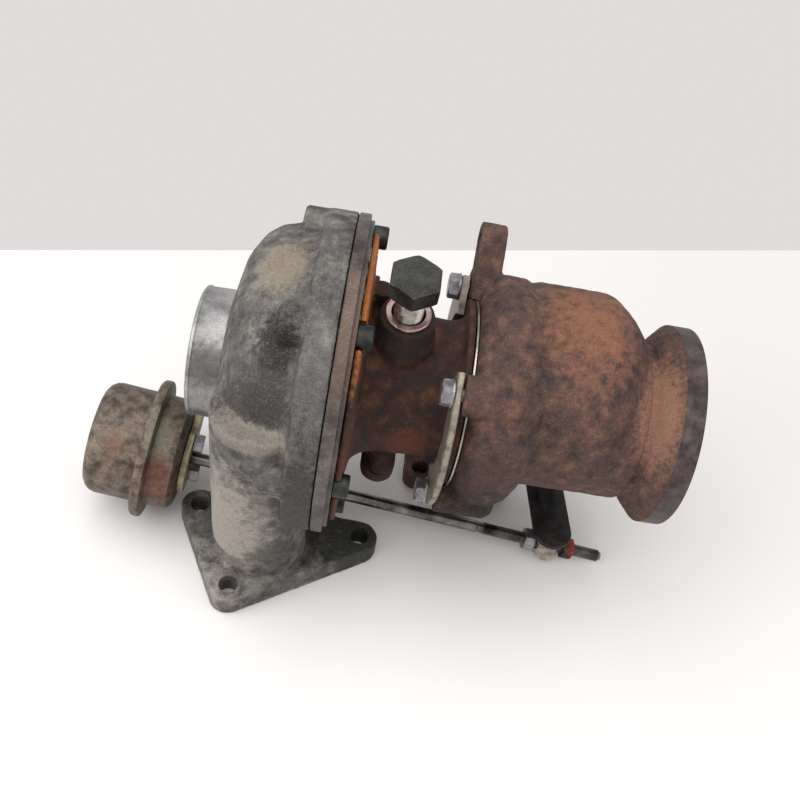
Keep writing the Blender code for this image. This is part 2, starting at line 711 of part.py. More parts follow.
def bearing_housing(root):
    """Cast iron centre housing: flange to the backplate, oil inlet boss, drain foot and joint flange."""
    left = BACKPLATE_THICKNESS + GAP
    flange = left + HOUSING_FLANGE_THICKNESS
    joint = TURBINE_JOINT - JOINT_FLANGE_THICKNESS
    body = turned(
        "bearing_housing",
        [
            (left, 0),
            (left, HOUSING_FLANGE_RADIUS),
            (flange - 0.3, HOUSING_FLANGE_RADIUS),
            (flange + 0.5, HOUSING_RADIUS + 15),
            (flange + 2, HOUSING_RADIUS + 6),
            (flange + 6, HOUSING_RADIUS + 3),
            (flange + 14, HOUSING_RADIUS + 1),
            (joint - 3, HOUSING_RADIUS),
            (joint, HOUSING_RADIUS + 1.5),
            (joint, JOINT_FLANGE_RADIUS),
            (TURBINE_JOINT, JOINT_FLANGE_RADIUS),
            (TURBINE_JOINT, 0),
        ],
    )
    up = oil_frame()
    boss = turned(
        "oil_boss",
        [(0, 0), (0, OIL_BOSS_RADIUS), (38, OIL_BOSS_RADIUS + 2), (OIL_BOSS_HEIGHT - 5, OIL_BOSS_RADIUS),
         (OIL_BOSS_HEIGHT, OIL_BOSS_RADIUS), (OIL_BOSS_HEIGHT, 0)],
        FINE,
    )
    fuse(body, reshape(boss, up))
    half = DRAIN_SCREW_SPACING / 2
    outline = rounded([(0, -half), (0, half)], DRAIN_WIDTH / 2)
    foot = extruded("drain_foot", outline, -DRAIN_DEPTH, DRAIN_THICKNESS - DRAIN_DEPTH)
    web = block(
        "drain_web", (1 - DRAIN_DEPTH, 0.5 - DRAIN_WIDTH / 2, 4 - half), (-10, DRAIN_WIDTH / 2 - 0.5, half - 4)
    )
    fuse(body, reshape(foot, up), reshape(web, up))

    pocket = turned("thrust_pocket", [(left - 1, 0), (left - 1, 25), (13.5, 25), (15.3, 22), (15.3, 0)])
    cut(body, pocket)
    grooves = [
        (start - GAP, start + CIRCLIP_THICKNESS + GAP, BEARING_BORE + 1.1) for start in CIRCLIP_STARTS
    ]
    bore = [(14, 0), (14, BEARING_BORE)]
    for low, high, radius in grooves:
        bore += [(low, BEARING_BORE), (low, radius), (high, radius), (high, BEARING_BORE)]
    bore += [(48.5, BEARING_BORE), (48.5, SHAFT_BOSS + 0.35), (TURBINE_JOINT + 1, SHAFT_BOSS + 0.35),
             (TURBINE_JOINT + 1, 0)]
    cut(body, turned("bearing_bore", bore, FINE))
    jacket = turned("oil_jacket", [(19, 14), (19, 24), (24, 26), (42, 26), (46, 23), (46, 14)])
    cut(body, jacket)
    cut(body, reshape(cylinder("drain", DRAIN_BORE, -DRAIN_DEPTH - 1, -18), up))
    cut(body, reshape(cylinder("oil_thread", OIL_BOLT_RADIUS + GAP, 34, OIL_BOSS_HEIGHT + 1, FINE), up))
    cut(body, reshape(cylinder("oil_way", 2.2, 5, 35), up))
    for side in (-half, half):
        hole = cylinder("hole", M6_RADIUS + THREAD_ROOM, -DRAIN_DEPTH - 1, -DRAIN_DEPTH + 12)
        cut(body, reshape(hole, up @ shifted(0, 0, side)))
    for y, z in cover_bolt_places():
        cut(
            body, reshape(cylinder("notch", CAP_HEAD_RADIUS + 1.4, left - 1, flange + 1, FINE), shifted(0, y, z))
        )
    place(body, "rusty_iron", root)


def housing_internals(root):
    """Bearings, circlips, turbine seal ring and thrust bearing, which stay still in the housing."""
    for name, start in zip(("journal_bearing_front", "journal_bearing_rear"), JOURNAL_STARTS):
        inner = THICK_SHAFT + 0.35
        outer = BEARING_BORE - 0.35
        end = start + JOURNAL_LENGTH
        bearing = turned(name, [(start, inner), (start, outer), (end, outer), (end, inner)], FINE)
        place(bearing, "bearing_bronze", root)
    for name, start in zip(("bearing_circlip_front", "bearing_circlip_rear"), CIRCLIP_STARTS):
        end = start + CIRCLIP_THICKNESS
        ring = turned(
            name, [(start, 6.2), (start, BEARING_BORE + 0.8), (end, BEARING_BORE + 0.8), (end, 6.2)], FINE
        )
        cut(ring, block("split", (start - 1, -1.2, -12), (end + 1, 1.2, 0)))
        place(ring, "spring_steel", root)
    seal = turned("turbine_seal_ring", [(51.9, 6.9), (51.9, SHAFT_BOSS + 0.1), (53.1, SHAFT_BOSS + 0.1),
                  (53.1, 6.9)],
                  FINE)
    place(seal, "spring_steel", root)
    thrust = turned("thrust_bearing", [(10.9, 6.3), (10.9, 24.5), (13.2, 24.5), (13.2, 6.3)])
    cut(thrust, block("mouth", (10, -6.3, -30), (14, 6.3, 0)))
    place(thrust, "bearing_bronze", root)


def oil_inlet(root):
    """Hollow oil bolt, standing proud of its copper washer."""
    up = oil_frame()
    turn = up.to_euler()
    where = tuple(up.translation)
    head_end = OIL_BOLT_HEAD_BASE + OIL_BOLT_HEAD_HEIGHT
    bolt = extruded("oil_inlet_bolt", hexagon(OIL_BOLT_HEAD_AF), OIL_BOLT_HEAD_BASE, head_end)
    fuse(bolt, cylinder("shank", OIL_BOLT_RADIUS, 36, OIL_BOLT_HEAD_BASE + 1, FINE))
    cut(bolt, cylinder("oil_way", 3, 35, OIL_BOLT_HEAD_BASE - 3))
    place(bolt, "black_steel", root, where, turn)
    low = OIL_BOSS_HEIGHT + GAP
    washer = turned("oil_inlet_washer", [(low, 6.8), (low, 9.3), (low + 1.5, 9.3), (low + 1.5, 6.8)], FINE)
    place(washer, "copper", root, where, turn)


def heat_shield(root):
    left = TURBINE_JOINT + GAP
    step = 2.2
    profile = [
        (left, JOINT_FLANGE_RADIUS),
        (left + SHIELD_THICKNESS, JOINT_FLANGE_RADIUS),
        (left + SHIELD_THICKNESS, 34.2),
        (left + SHIELD_THICKNESS + step, 33),
        (left + SHIELD_THICKNESS + step, SHAFT_BOSS + 1.2),
        (left + step, SHAFT_BOSS + 1.2),
        (left + step, 32.3),
        (left, 33.5),
    ]
    place(turned("heat_shield", profile), "zinc_steel", root)


def turbine_housing(root):
    """Cast iron scroll with the wastegate chamber, the clamp-band outlet, the inlet flange and a lug."""
    lean = Vector((0, *BODY_LEAN)).normalized()
    drum_axis = Matrix.Translation(lean * DRUM_OFFSET)
    chamber_axis = Matrix.Translation(lean * CHAMBER_OFFSET)
    body = turned(
        "turbine_housing",
        [
            (HOUSING_FACE, 0),
            (HOUSING_FACE, DRUM_RADIUS - 4),
            (HOUSING_FACE + 1.2, DRUM_RADIUS - 1.3),
            (HOUSING_FACE + 6, DRUM_RADIUS),
            (74, DRUM_RADIUS - 0.3),
            (80, DRUM_RADIUS - 4),
            (84, DRUM_RADIUS - 9),
            (84, 0),
        ],
    )
    reshape(body, drum_axis)
    outer = CHAMBER_RADIUS
    chamber = turned(
        "chamber",
        [
            (76, 0),
            (76, outer - 1),
            (80, outer),
            (CHAMBER_END - 6, outer),
            (CHAMBER_END, outer - 1.3),
            (CHAMBER_END + 4.8, outer - 5.4),
            (CHAMBER_END + 7.8, outer - 10.7),
            (CHAMBER_END + 11, outer - 15),
            (CHAMBER_END + 11, 0),
        ],
    )
    fuse(body, reshape(chamber, chamber_axis))
    rim = OUTLET_FACE - OUTLET_RIM
    neck = turned(
        "neck",
        [
            (100, 0),
            (100, NECK_RADIUS + 1.2),
            (124, NECK_RADIUS + 1.4),
            (rim - 11, NECK_RADIUS + 0.6),
            (rim - 8, NECK_RADIUS),
            (rim - 5, OUTLET_FLANGE_RADIUS - 4.4),
            (rim, OUTLET_FLANGE_RADIUS - 0.2),
            (rim + 0.3, OUTLET_FLANGE_RADIUS),
            (OUTLET_FACE, OUTLET_FLANGE_RADIUS),
            (OUTLET_FACE, 0),
        ],
    )
    fuse(body, neck)
    plate_face = TURBINE_JOINT - JOINT_FLANGE_THICKNESS
    for y, z in clamp_bolt_places():
        boss = cylinder("boss", 7, plate_face, 74, FINE)
        fuse(body, reshape(boss, shifted(0, y, z)))
    x, y = TURBINE_INLET
    foot = (x, y, 1 - SHAFT_HEIGHT)
    fuse(body, funnel("inlet_duct", foot, TURBINE_INLET_RADIUS, (x, y, 0), TURBINE_INLET_RADIUS, FINE))
    half_x = INLET_FLANGE[0] / 2 - 6
    half_y = INLET_FLANGE[1] / 2 - 6
    corners = [
        (x - half_x, y - half_y), (x + half_x, y - half_y), (x + half_x, y + half_y), (x - half_x, y + half_y),
    ]
    flange = extruded(
        "inlet_flange", rounded(corners, 6), -SHAFT_HEIGHT, INLET_FLANGE_THICKNESS - SHAFT_HEIGHT, "Z"
    )
    fuse(body, flange)
    pivot = lever_pivot()
    boss = funnel(
        "spindle_boss", (pivot.x, pivot.y, BOSS_FOOT), BOSS_RADIUS, (pivot.x, pivot.y, -25), BOSS_RADIUS, FINE
    )
    fuse(body, boss)
    lug_turn = Matrix.Rotation(math.radians(LUG_ANGLE), 4, "X")
    lug = extruded(
        "lug", rounded([(0, 30), (0, LUG_REACH)], LUG_WIDTH / 2), LUG_START, LUG_START + LUG_THICKNESS
    )
    fuse(body, reshape(lug, lug_turn))

    cut(body, turned("joint_recess", [(50, 0), (50, JOINT_FLANGE_RADIUS + GAP),
                                      (HOUSING_FACE, JOINT_FLANGE_RADIUS + GAP),
                                      (HOUSING_FACE, 35), (60, 35), (60, 0)]))
    wheel_side = opened(turbine_tips(), RUNNING)
    gas = [
        (59, 0),
        (59, 34),
        (60.3, 43.5),
        (66, 45),
        (73, 41.5),
        (75.5, 36),
        (71.5, 29.5),
        *wheel_side,
        (BULKHEAD + 1, wheel_side[-1][1]),
        (BULKHEAD + 1, 0),
    ]
    cut(body, turned("gas_path", gas))
    inner = outer - CHAMBER_WALL
    cavity = turned(
        "cavity",
        [(BULKHEAD, 0), (BULKHEAD, inner), (CHAMBER_END - 2.5, inner), (CHAMBER_END + 3, inner - 5.2),
         (CHAMBER_END + 8, inner - 13.3), (CHAMBER_END + 8, 0)],
    )
    reshape(cavity, chamber_axis)
    valve = pivot + Vector((*VALVE_OFFSET, 0))
    seat = valve.x - GAP
    port = cylinder("port", PORT_RADIUS, BULKHEAD - 2, seat, FINE)
    cut(cavity, reshape(port, shifted(0, valve.y, VALVE_HEIGHT)))
    cut(body, cavity)
    outlet = turned("outlet", [(CHAMBER_END, 0), (CHAMBER_END, OUTLET_BORE), (OUTLET_FACE - 3, OUTLET_BORE),
                               (OUTLET_FACE - 1, OUTLET_BORE + 3), (OUTLET_FACE + 1, OUTLET_BORE + 3),
                               (OUTLET_FACE + 1, 0)])
    cut(body, outlet)
    bypass_start = Vector((BULKHEAD - 2, valve.y, VALVE_HEIGHT))
    bypass_end = Vector((69, valve.y + 3, VALVE_HEIGHT - 11))
    bypass = cylinder("bypass", 4, 0, (bypass_end - bypass_start).length)
    cut(body, reshape(bypass, pointing(bypass_end - bypass_start, bypass_start)))
    bore = cylinder("port_bore", PORT_BORE, BULKHEAD - 3.5, seat + 1, FINE)
    cut(body, reshape(bore, shifted(0, valve.y, VALVE_HEIGHT)))
    inlet = funnel(
        "inlet_bore", (x, y, -SHAFT_HEIGHT - 1), TURBINE_INLET_BORE, (x, y - 4, -8), TURBINE_INLET_BORE, FINE
    )
    cut(body, inlet)
    for side_x in (-0.5, 0.5):
        for side_y in (-0.5, 0.5):
            place_x = x + side_x * INLET_FLANGE_HOLES[0]
            place_y = y + side_y * INLET_FLANGE_HOLES[1]
            hole = funnel("hole", (place_x, place_y, -SHAFT_HEIGHT - 1), FLANGE_HOLE_RADIUS,
                          (place_x, place_y, -80),
                          FLANGE_HOLE_RADIUS, SMALL)
            cut(body, hole)
    for y_bolt, z_bolt in clamp_bolt_places():
        hole = cylinder("hole", M6_RADIUS + THREAD_ROOM, 50, 63.5)
        cut(body, reshape(hole, shifted(0, y_bolt, z_bolt)))
    lug_hole = cylinder("lug_hole", 4.3, LUG_START - 1, LUG_START + LUG_THICKNESS + 1)
    cut(body, reshape(lug_hole, lug_turn @ shifted(0, 0, LUG_REACH)))
    bush = SPINDLE_RADIUS + BUSH_ROOM + BUSH_WALL + GAP
    spindle_hole = funnel(
        "spindle_hole", (pivot.x, pivot.y, BOSS_FOOT - 1), bush, (pivot.x, pivot.y, -20), bush, FINE
    )
    cut(body, spindle_hole)
    place(body, "scaled_iron", root)


def sector(inner, outer, first, last, steps=7):
    """A ring segment's (y, z) outline, between two angles from the top towards the front."""
    angles = [first + (last - first) * i / steps for i in range(steps + 1)]
    return [around(outer, angle) for angle in angles] + [around(inner, angle) for angle in reversed(angles)]


def clamp_joint(root):
    """Two crescent plates, each under two hexagon bolts, clamp the turbine housing in place."""
    plate_right = TURBINE_JOINT - JOINT_FLANGE_THICKNESS - GAP
    plate_left = plate_right - CLAMP_PLATE_THICKNESS
    overhang = 10
    for name, (first, last) in (("clamp_plate_front", CLAMP_BOLT_ANGLES[:2]),
    ("clamp_plate_rear", CLAMP_BOLT_ANGLES[2:])):
        outline = sector(CLAMP_PLATE_INNER, CLAMP_PLATE_OUTER, first - overhang, last + overhang)
        plate = extruded(name, outline, plate_left, plate_right)
        for angle in (first, last):
            y, z = around(CLAMP_BOLT_CIRCLE, angle)
            hole = cylinder("hole", M6_RADIUS + THREAD_ROOM, plate_left - 1, plate_right + 1)
            cut(plate, reshape(hole, shifted(0, y, z)))
        place(plate, "clamp_steel", root)
    length = 63 - plate_left
    first = screw("clamp_bolt_1", hexagon(CLAMP_HEAD_AF), M6_RADIUS, CLAMP_HEAD_HEIGHT, length)
    names = [f"clamp_bolt_{i}" for i in range(2, len(CLAMP_BOLT_ANGLES) + 1)]
    for bolt, (y, z) in zip(copies(first, names), clamp_bolt_places()):
        place(bolt, "zinc_steel", root, (plate_left - GAP, y, z))


def wastegate(root, hinge):
    """Bush in the housing; spindle, arm, flap valve, washer and outside lever, which turn together."""
    pivot = lever_pivot()
    to_hinge = Matrix.Translation(-pivot)
    outer = SPINDLE_RADIUS + BUSH_ROOM + BUSH_WALL
    inner = SPINDLE_RADIUS + BUSH_ROOM
    upright = Matrix.Rotation(math.radians(-90), 4, "Y")
    bush = turned("wastegate_bush", [(BOSS_FOOT - 0.5, inner), (BOSS_FOOT - 0.5, outer), (BUSH_TOP, outer),
                  (BUSH_TOP, inner)],
                  FINE)
    reshape(bush, upright)
    place(bush, "turned_steel", root, (pivot.x, pivot.y, 0))

    lever_low = pivot.z + LEVER_HEIGHT
    spindle = cylinder("wastegate_spindle", SPINDLE_RADIUS, lever_low - 1, SPINDLE_TOP, FINE)
    reshape(spindle, upright)
    hub_radius = SPINDLE_RADIUS + 1.2
    hub = cylinder("hub", hub_radius, SPINDLE_TOP - 12, SPINDLE_TOP - 1, FINE)
    fuse(spindle, reshape(hub, upright))
    arm_left = VALVE_OFFSET[0] + VALVE_THICKNESS + GAP
    ends = [(VALVE_OFFSET[1], VALVE_HEIGHT), (-1, SPINDLE_TOP - 7)]
    arm = extruded("arm", rounded(ends, ARM_HALF_WIDTH), arm_left, arm_left + ARM_THICKNESS)
    fuse(spindle, arm)
    hole = cylinder("hole", STEM_RADIUS + GAP, -20, 20)
    cut(spindle, reshape(hole, shifted(0, VALVE_OFFSET[1], VALVE_HEIGHT)))
    reshape(spindle, shifted(0, 0, -pivot.z))
    place(spindle, "turned_steel", hinge)

    valve_at = shifted(VALVE_OFFSET[0], VALVE_OFFSET[1], VALVE_HEIGHT - pivot.z)
    stem_end = VALVE_THICKNESS + GAP + ARM_THICKNESS + 3
    valve = turned(
        "wastegate_valve",
        [(0, 0), (0, VALVE_RADIUS), (VALVE_THICKNESS, VALVE_RADIUS), (VALVE_THICKNESS, STEM_RADIUS),
         (stem_end, STEM_RADIUS),
         (stem_end, 0)],
        FINE,
    )
    place(reshape(valve, valve_at), "turned_steel", hinge)
    washer_low = VALVE_THICKNESS + ARM_THICKNESS + 2 * GAP
    washer = turned(
        "valve_washer",
        [
            (washer_low, STEM_RADIUS + GAP), (washer_low, 5), (washer_low + 1.4, 5), (washer_low + 1.4, STEM_RADIUS + GAP)
        ],
        FINE,
    )
    place(reshape(washer, valve_at), "turned_steel", hinge)

    tip = to_hinge @ trunnion_centre()
    outline = rounded([(tip.x, tip.y), (0, 0)], LEVER_WIDTH / 2)
    lever = extruded("wastegate_lever", outline, LEVER_HEIGHT, LEVER_HEIGHT + LEVER_THICKNESS, "Z")
    spindle_hole = SPINDLE_RADIUS + GAP
    cut(lever, funnel("hole", (0, 0, 0), spindle_hole, (0, 0, 20), spindle_hole, FINE))
    cut(lever, funnel("hole", (tip.x, tip.y, 0), 4.3, (tip.x, tip.y, 20), 4.3, FINE))
    place(lever, "black_steel", hinge)


def trunnion(pin):
    """Cross-bored pin that the rod passes through, hung in the end of the lever."""
    upright = Matrix.Rotation(math.radians(-90), 4, "Y")
    half = TRUNNION_HEIGHT / 2
    top = LEVER_HEIGHT + LEVER_THICKNESS
    body = turned(
        "trunnion",
        [
            (-half, 0),
            (-half, TRUNNION_RADIUS - 0.8),
            (-half + 0.8, TRUNNION_RADIUS),
            (half - 0.6, TRUNNION_RADIUS),
            (half - 0.6, TRUNNION_COLLAR),
            (half + 0.5, TRUNNION_COLLAR),
            (half + 0.5, 4),
            (top - 0.4, 4),
            (top - 0.4, 0),
        ],
        FINE,
    )
    reshape(body, upright)
    along_rod = actuator_frame().to_3x3().to_4x4()
    cut(body, reshape(cylinder("rod_hole", TRUNNION_BORE, -10, 10, FINE), along_rod))
    place(body, "turned_steel", pin)
    low = half + 0.5 + GAP
    high = LEVER_HEIGHT - GAP
    outer = TRUNNION_COLLAR + 0.2
    washer = turned("trunnion_washer", [(low, 4 + GAP), (low, outer), (high, outer), (high, 4 + GAP)], FINE)
    place(reshape(washer, upright), "zinc_steel", pin)


def actuator(root, can_axis, piston_axis, rod_axis):
    """Pressed can with a rolled rim, diaphragm, piston, spring, rod and bracket."""
    inner = CAN_RADIUS - CAN_WALL
    sheet = DIAPHRAGM_THICKNESS / 2 + GAP
    corner = CAN_CORNER
    end = -CAN_CAP_LENGTH
    cap_profile = [
        (end, 0),
        (end, CAN_RADIUS - corner),
        (end + 0.3 * corner, CAN_RADIUS - 0.3 * corner),
        (end + corner, CAN_RADIUS),
        (-sheet - RIM_SHEET, CAN_RADIUS),
        (-sheet - RIM_SHEET, RIM_RADIUS - 1.5),
        (-sheet, RIM_RADIUS - 1.5),
        (-sheet, inner),
        (end + corner, inner),
        (end + CAN_WALL + 0.3 * corner, inner - 0.3 * corner),
        (end + CAN_WALL, inner - corner),
        (end + CAN_WALL, 0),
    ]
    cap = turned("actuator_cap", cap_profile)
    nipple_x = end / 2
    port = cylinder("port", 3.2, inner - 4, CAN_RADIUS + 4)
    backwards = Matrix.Rotation(math.radians(-NIPPLE_DROP), 4, "X") @ Matrix.Rotation(
        math.radians(90), 4, "Z"
    )
    cut(cap, reshape(port, shifted(nipple_x) @ backwards))
    place(cap, "stained_steel", can_axis)

    nipple = turned(
        "pressure_nipple",
        [(inner, 1.6), (inner, 2.9), (CAN_RADIUS + GAP, 2.9), (CAN_RADIUS + GAP, 5), (CAN_RADIUS + 2, 5),
         (CAN_RADIUS + 2, 2.8), (CAN_RADIUS + 13, 2.8), (CAN_RADIUS + 15, 3.3), (CAN_RADIUS + 17, 2.6),
         (CAN_RADIUS + 17, 1.6)],
        FINE,
    )
    place(reshape(nipple, shifted(nipple_x) @ backwards), "turned_steel", can_axis)

    stop = CAN_BODY_LENGTH
    lip = sheet + RIM_SHEET + GAP
    body_profile = [
        (stop, ROD_RADIUS + ROD_SWAY),
        (stop, CAN_RADIUS - 0.6 * corner),
        (stop - 0.6 * corner, CAN_RADIUS),
        (sheet + RIM_SHEET, CAN_RADIUS),
        (sheet + RIM_SHEET, RIM_RADIUS - 0.4),
        (sheet + RIM_SHEET - 0.4, RIM_RADIUS),
        (-lip - RIM_SHEET + 0.4, RIM_RADIUS),
        (-lip - RIM_SHEET, RIM_RADIUS - 0.4),
        (-lip - RIM_SHEET, CAN_RADIUS + 1.5),
        (-lip, CAN_RADIUS + 1.5),
        (-lip, RIM_RADIUS - RIM_SHEET),
        (sheet, RIM_RADIUS - RIM_SHEET),
        (sheet, inner),
        (stop - CAN_WALL, inner),
        (stop - CAN_WALL, ROD_RADIUS + ROD_SWAY),
    ]
    place(turned("actuator_body", body_profile), "stained_steel", can_axis)

    half = DIAPHRAGM_THICKNESS / 2
    throat = PISTON_RADIUS + ROD_SWAY
    skin = DIAPHRAGM_THICKNESS
    diaphragm = turned(
        "diaphragm",
        [(half, RIM_RADIUS - 1.8), (-half, RIM_RADIUS - 1.8), (-half, inner - 0.4), (-15, inner - 0.4),
         (-17, inner - 1.4),
         (-17, throat), (-17 + skin, throat), (-17 + skin, inner - 2), (-14.5, inner - 0.4 - skin),
         (half, inner - 0.4 - skin)],
    )
    place(diaphragm, "rubber", can_axis)

    piston = turned(
        "piston_plate",
        [(0, ROD_RADIUS + 0.8), (0, PISTON_RADIUS), (PISTON_SKIRT, PISTON_RADIUS),
         (PISTON_SKIRT, PISTON_RADIUS - 1.5),
         (1.5, PISTON_RADIUS - 1.5), (1.5, ROD_RADIUS + 0.8)],
    )
    place(piston, "turned_steel", piston_axis)

    start = PISTON_REST + 1.5 + SPRING_WIRE + GAP
    finish = stop - CAN_WALL - SPRING_WIRE - GAP
    spring_curve(start, finish, can_axis)

    head_end = -PISTON_REST + ROD_TIP
    rod = turned(
        "actuator_rod",
        [(-2, 0), (-2, 4.6), (-GAP, 4.6), (-GAP, ROD_RADIUS), (head_end - 1, ROD_RADIUS),
         (head_end, ROD_RADIUS - 1),
         (head_end, 0)],
        FINE,
    )
    place(rod, "turned_steel", rod_axis)
    middle = TRUNNION_DISTANCE - PISTON_REST
    lock_nuts = (
        ("inner_lock_nut", middle - NUT_FACE - NUT_THICKNESS, "zinc_steel"),
        ("outer_lock_nut", middle + NUT_FACE, "black_steel"),
    )
    for name, low, material in lock_nuts:
        nut = extruded(name, hexagon(NUT_AF), low, low + NUT_THICKNESS)
        cut(nut, cylinder("bore", ROD_RADIUS + GAP, low - 1, low + NUT_THICKNESS + 1, FINE))
        place(nut, material, rod_axis)
    bracket(can_axis)


def spring_curve(start, finish, parent):
    """Round-wire compression spring between the piston and the can's end."""
    data = bpy.data.curves.new("actuator_spring", "CURVE")
    data.dimensions = "3D"
    data.bevel_depth = SPRING_WIRE * MM
    data.bevel_resolution = 0
    data.use_fill_caps = True
    spline = data.splines.new("POLY")
    steps = SPRING_TURNS * 12
    spline.points.add(steps)
    for i, point in enumerate(spline.points):
        angle = 2 * math.pi * SPRING_TURNS * i / steps
        x = start + (finish - start) * i / steps
        where = Vector((x, SPRING_RADIUS * math.cos(angle), SPRING_RADIUS * math.sin(angle))) * MM
        point.co = (*where, 1)
    spring = bpy.data.objects.new("actuator_spring", data)
    bpy.context.scene.collection.objects.link(spring)
    place(spring, "spring_steel", parent)


def bracket(can_axis):
    """Bent steel bracket from the can's end to two bosses on the cover, with its bolts and can nuts."""
    near = CAN_BODY_LENGTH + GAP
    sheet = BRACKET_THICKNESS
    turn = Matrix.Rotation(math.radians(BRACKET_ANGLE), 4, "X")
    wide = BRACKET_HALF_WIDTH
    bend = BRACKET_BOLTS[0] - 9
    end = BRACKET_BOLTS[1] + wide
    strip = [
        (near, 0),
        (near + sheet, 0),
        (near + sheet, bend),
        (BRACKET_FOOT + sheet, bend),
        (BRACKET_FOOT + sheet, end),
        (BRACKET_FOOT, end),
        (BRACKET_FOOT, bend + sheet),
        (near, bend + sheet),
    ]
    plate = extruded("actuator_bracket", strip, -wide, wide, "Z")
    reshape(plate, turn)
    fuse(plate, extruded("disc", circle(BRACKET_DISC, FINE), near + 0.2, near + sheet - 0.2))
    cut(plate, cylinder("rod_hole", ROD_RADIUS + ROD_SWAY, 0, 40, FINE))
    for y, z in bracket_bolt_places():
        cut(plate, reshape(cylinder("hole", M6_RADIUS + THREAD_ROOM, 20, 40), shifted(0, y, z)))
    nut_places = [
        (11.5 * math.cos(angle), 11.5 * math.sin(angle)) for angle in (math.pi / 2, 3 * math.pi / 2)
    ]
    place(plate, "stained_steel", can_axis)

    length = BRACKET_THICKNESS + GAP + 8
    first = screw("bracket_bolt_1", hexagon(NUT_AF), M6_RADIUS, 4, length)
    for bolt, (y, z) in zip(copies(first, ["bracket_bolt_2"]), bracket_bolt_places()):
        place(bolt, "zinc_steel", can_axis, (BRACKET_FOOT - GAP, y, z))
    first = extruded("can_nut_1", hexagon(8), 0, 4)
    for nut, (y, z) in zip(copies(first, ["can_nut_2"]), nut_places):
        place(nut, "zinc_steel", can_axis, (near + BRACKET_THICKNESS + GAP, y, z))


def empty(name, parent, matrix):
    obj = bpy.data.objects.new(name, None)
    bpy.context.scene.collection.objects.link(obj)
    obj.parent = parent
    in_metres = matrix.copy()
    in_metres.translation = matrix.translation * MM
    obj.matrix_local = in_metres
    return obj


def stand_on_floor(root):
    """Puts the model's reference point, the middle of its box on the floor, at the world's origin."""
    root.location = (0, 0, SHAFT_HEIGHT * MM)
    bpy.context.view_layer.update()
    graph = bpy.context.evaluated_depsgraph_get()
    lows = Vector((1e9, 1e9, 1e9))
    highs = -lows
    for obj in bpy.context.view_layer.objects:
        if obj.type == "EMPTY":
            continue
        evaluated = obj.evaluated_get(graph)
        mesh = evaluated.to_mesh()
        for vertex in mesh.vertices:
            where = obj.matrix_world @ vertex.co
            lows = Vector(map(min, lows, where))
            highs = Vector(map(max, highs, where))
        evaluated.to_mesh_clear()
    middle = (lows + highs) / 2
    root.location = (-middle.x, -middle.y, SHAFT_HEIGHT * MM)
    bpy.context.view_layer.update()


def main():
    clear_scene()
    for name, (colour, roughness, metallic) in MATERIALS.items():
        material = bpy.data.materials.new(name)
        material.use_nodes = True
        surface = material.node_tree.nodes["Principled BSDF"]
        surface.inputs["Base Color"].default_value = (*colour, 1)
        surface.inputs["Roughness"].default_value = roughness
        surface.inputs["Metallic"].default_value = metallic

    root = empty("turbocharger", None, Matrix.Identity(4))
    rotor_axis = empty("rotor_axis", root, Matrix.Identity(4))
    can_axis = empty("can_axis", root, actuator_frame())
    piston_axis = empty("piston_axis", can_axis, shifted(PISTON_REST))
    rod_axis = empty("rod_axis", can_axis, shifted(PISTON_REST))
    hinge = empty("lever_hinge", root, Matrix.Translation(lever_pivot()))
    pin = empty("trunnion_pin", root, Matrix.Translation(trunnion_centre()))

    compressor_cover(root)
    backplate(root)
    cover_bolts(root)
    rotor(rotor_axis)
    bearing_housing(root)
    housing_internals(root)
    oil_inlet(root)
    heat_shield(root)
    turbine_housing(root)
    clamp_joint(root)
    wastegate(root, hinge)
    trunnion(pin)
    actuator(root, can_axis, piston_axis, rod_axis)
    stand_on_floor(root)


main()
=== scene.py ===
"""The turbocharger's looks: cast, machined and pressed pieces round the frame of its moving parts."""

import json
import math

import bmesh
import bpy
from mathutils import Matrix, Vector


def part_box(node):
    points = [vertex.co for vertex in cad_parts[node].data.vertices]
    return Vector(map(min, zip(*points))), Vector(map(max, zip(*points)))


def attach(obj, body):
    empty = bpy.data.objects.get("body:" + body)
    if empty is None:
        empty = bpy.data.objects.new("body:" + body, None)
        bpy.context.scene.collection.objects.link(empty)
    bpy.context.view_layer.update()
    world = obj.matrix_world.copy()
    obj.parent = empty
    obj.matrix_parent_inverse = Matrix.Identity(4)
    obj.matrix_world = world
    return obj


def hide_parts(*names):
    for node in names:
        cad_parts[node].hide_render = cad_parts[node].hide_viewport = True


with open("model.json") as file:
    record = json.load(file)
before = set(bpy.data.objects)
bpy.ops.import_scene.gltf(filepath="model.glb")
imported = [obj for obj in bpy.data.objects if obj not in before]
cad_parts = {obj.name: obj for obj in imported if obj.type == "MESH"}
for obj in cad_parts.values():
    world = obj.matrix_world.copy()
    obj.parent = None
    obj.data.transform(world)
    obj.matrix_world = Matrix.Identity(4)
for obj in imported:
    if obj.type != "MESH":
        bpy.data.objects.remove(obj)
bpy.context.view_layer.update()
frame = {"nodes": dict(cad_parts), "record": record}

mm = 0.001


# The floor and the light. A sheet of pale paper on a table, under one big soft lamp and two weaker ones.
# Lengths everywhere are millimetres from the point on the shaft where the cover meets its backplate.
backplate_thickness = 6.5
shaft_height = 96.0
half_rim = 69.7
seam = Vector(
    (
        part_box("backplate")[1][0] - backplate_thickness * mm,
        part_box("compressor_wheel")[0][1] / 2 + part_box("compressor_wheel")[1][1] / 2,
        shaft_height * mm,
    )
)
shaft = Matrix.Translation(seam)
upright = Matrix.Rotation(-math.pi / 2, 4, "Y")


def spot(x, y, z):
    return seam + Vector((x, y, z)) * mm


def linear(colour):
    """An sRGB hex colour as linear red, green, blue and alpha."""
    shares = [int(colour[i : i + 2], 16) / 255 for i in (1, 3, 5)]
    return (*[s / 12.92 if s <= 0.04045 else ((s + 0.055) / 1.055) ** 2.4 for s in shares], 1.0)


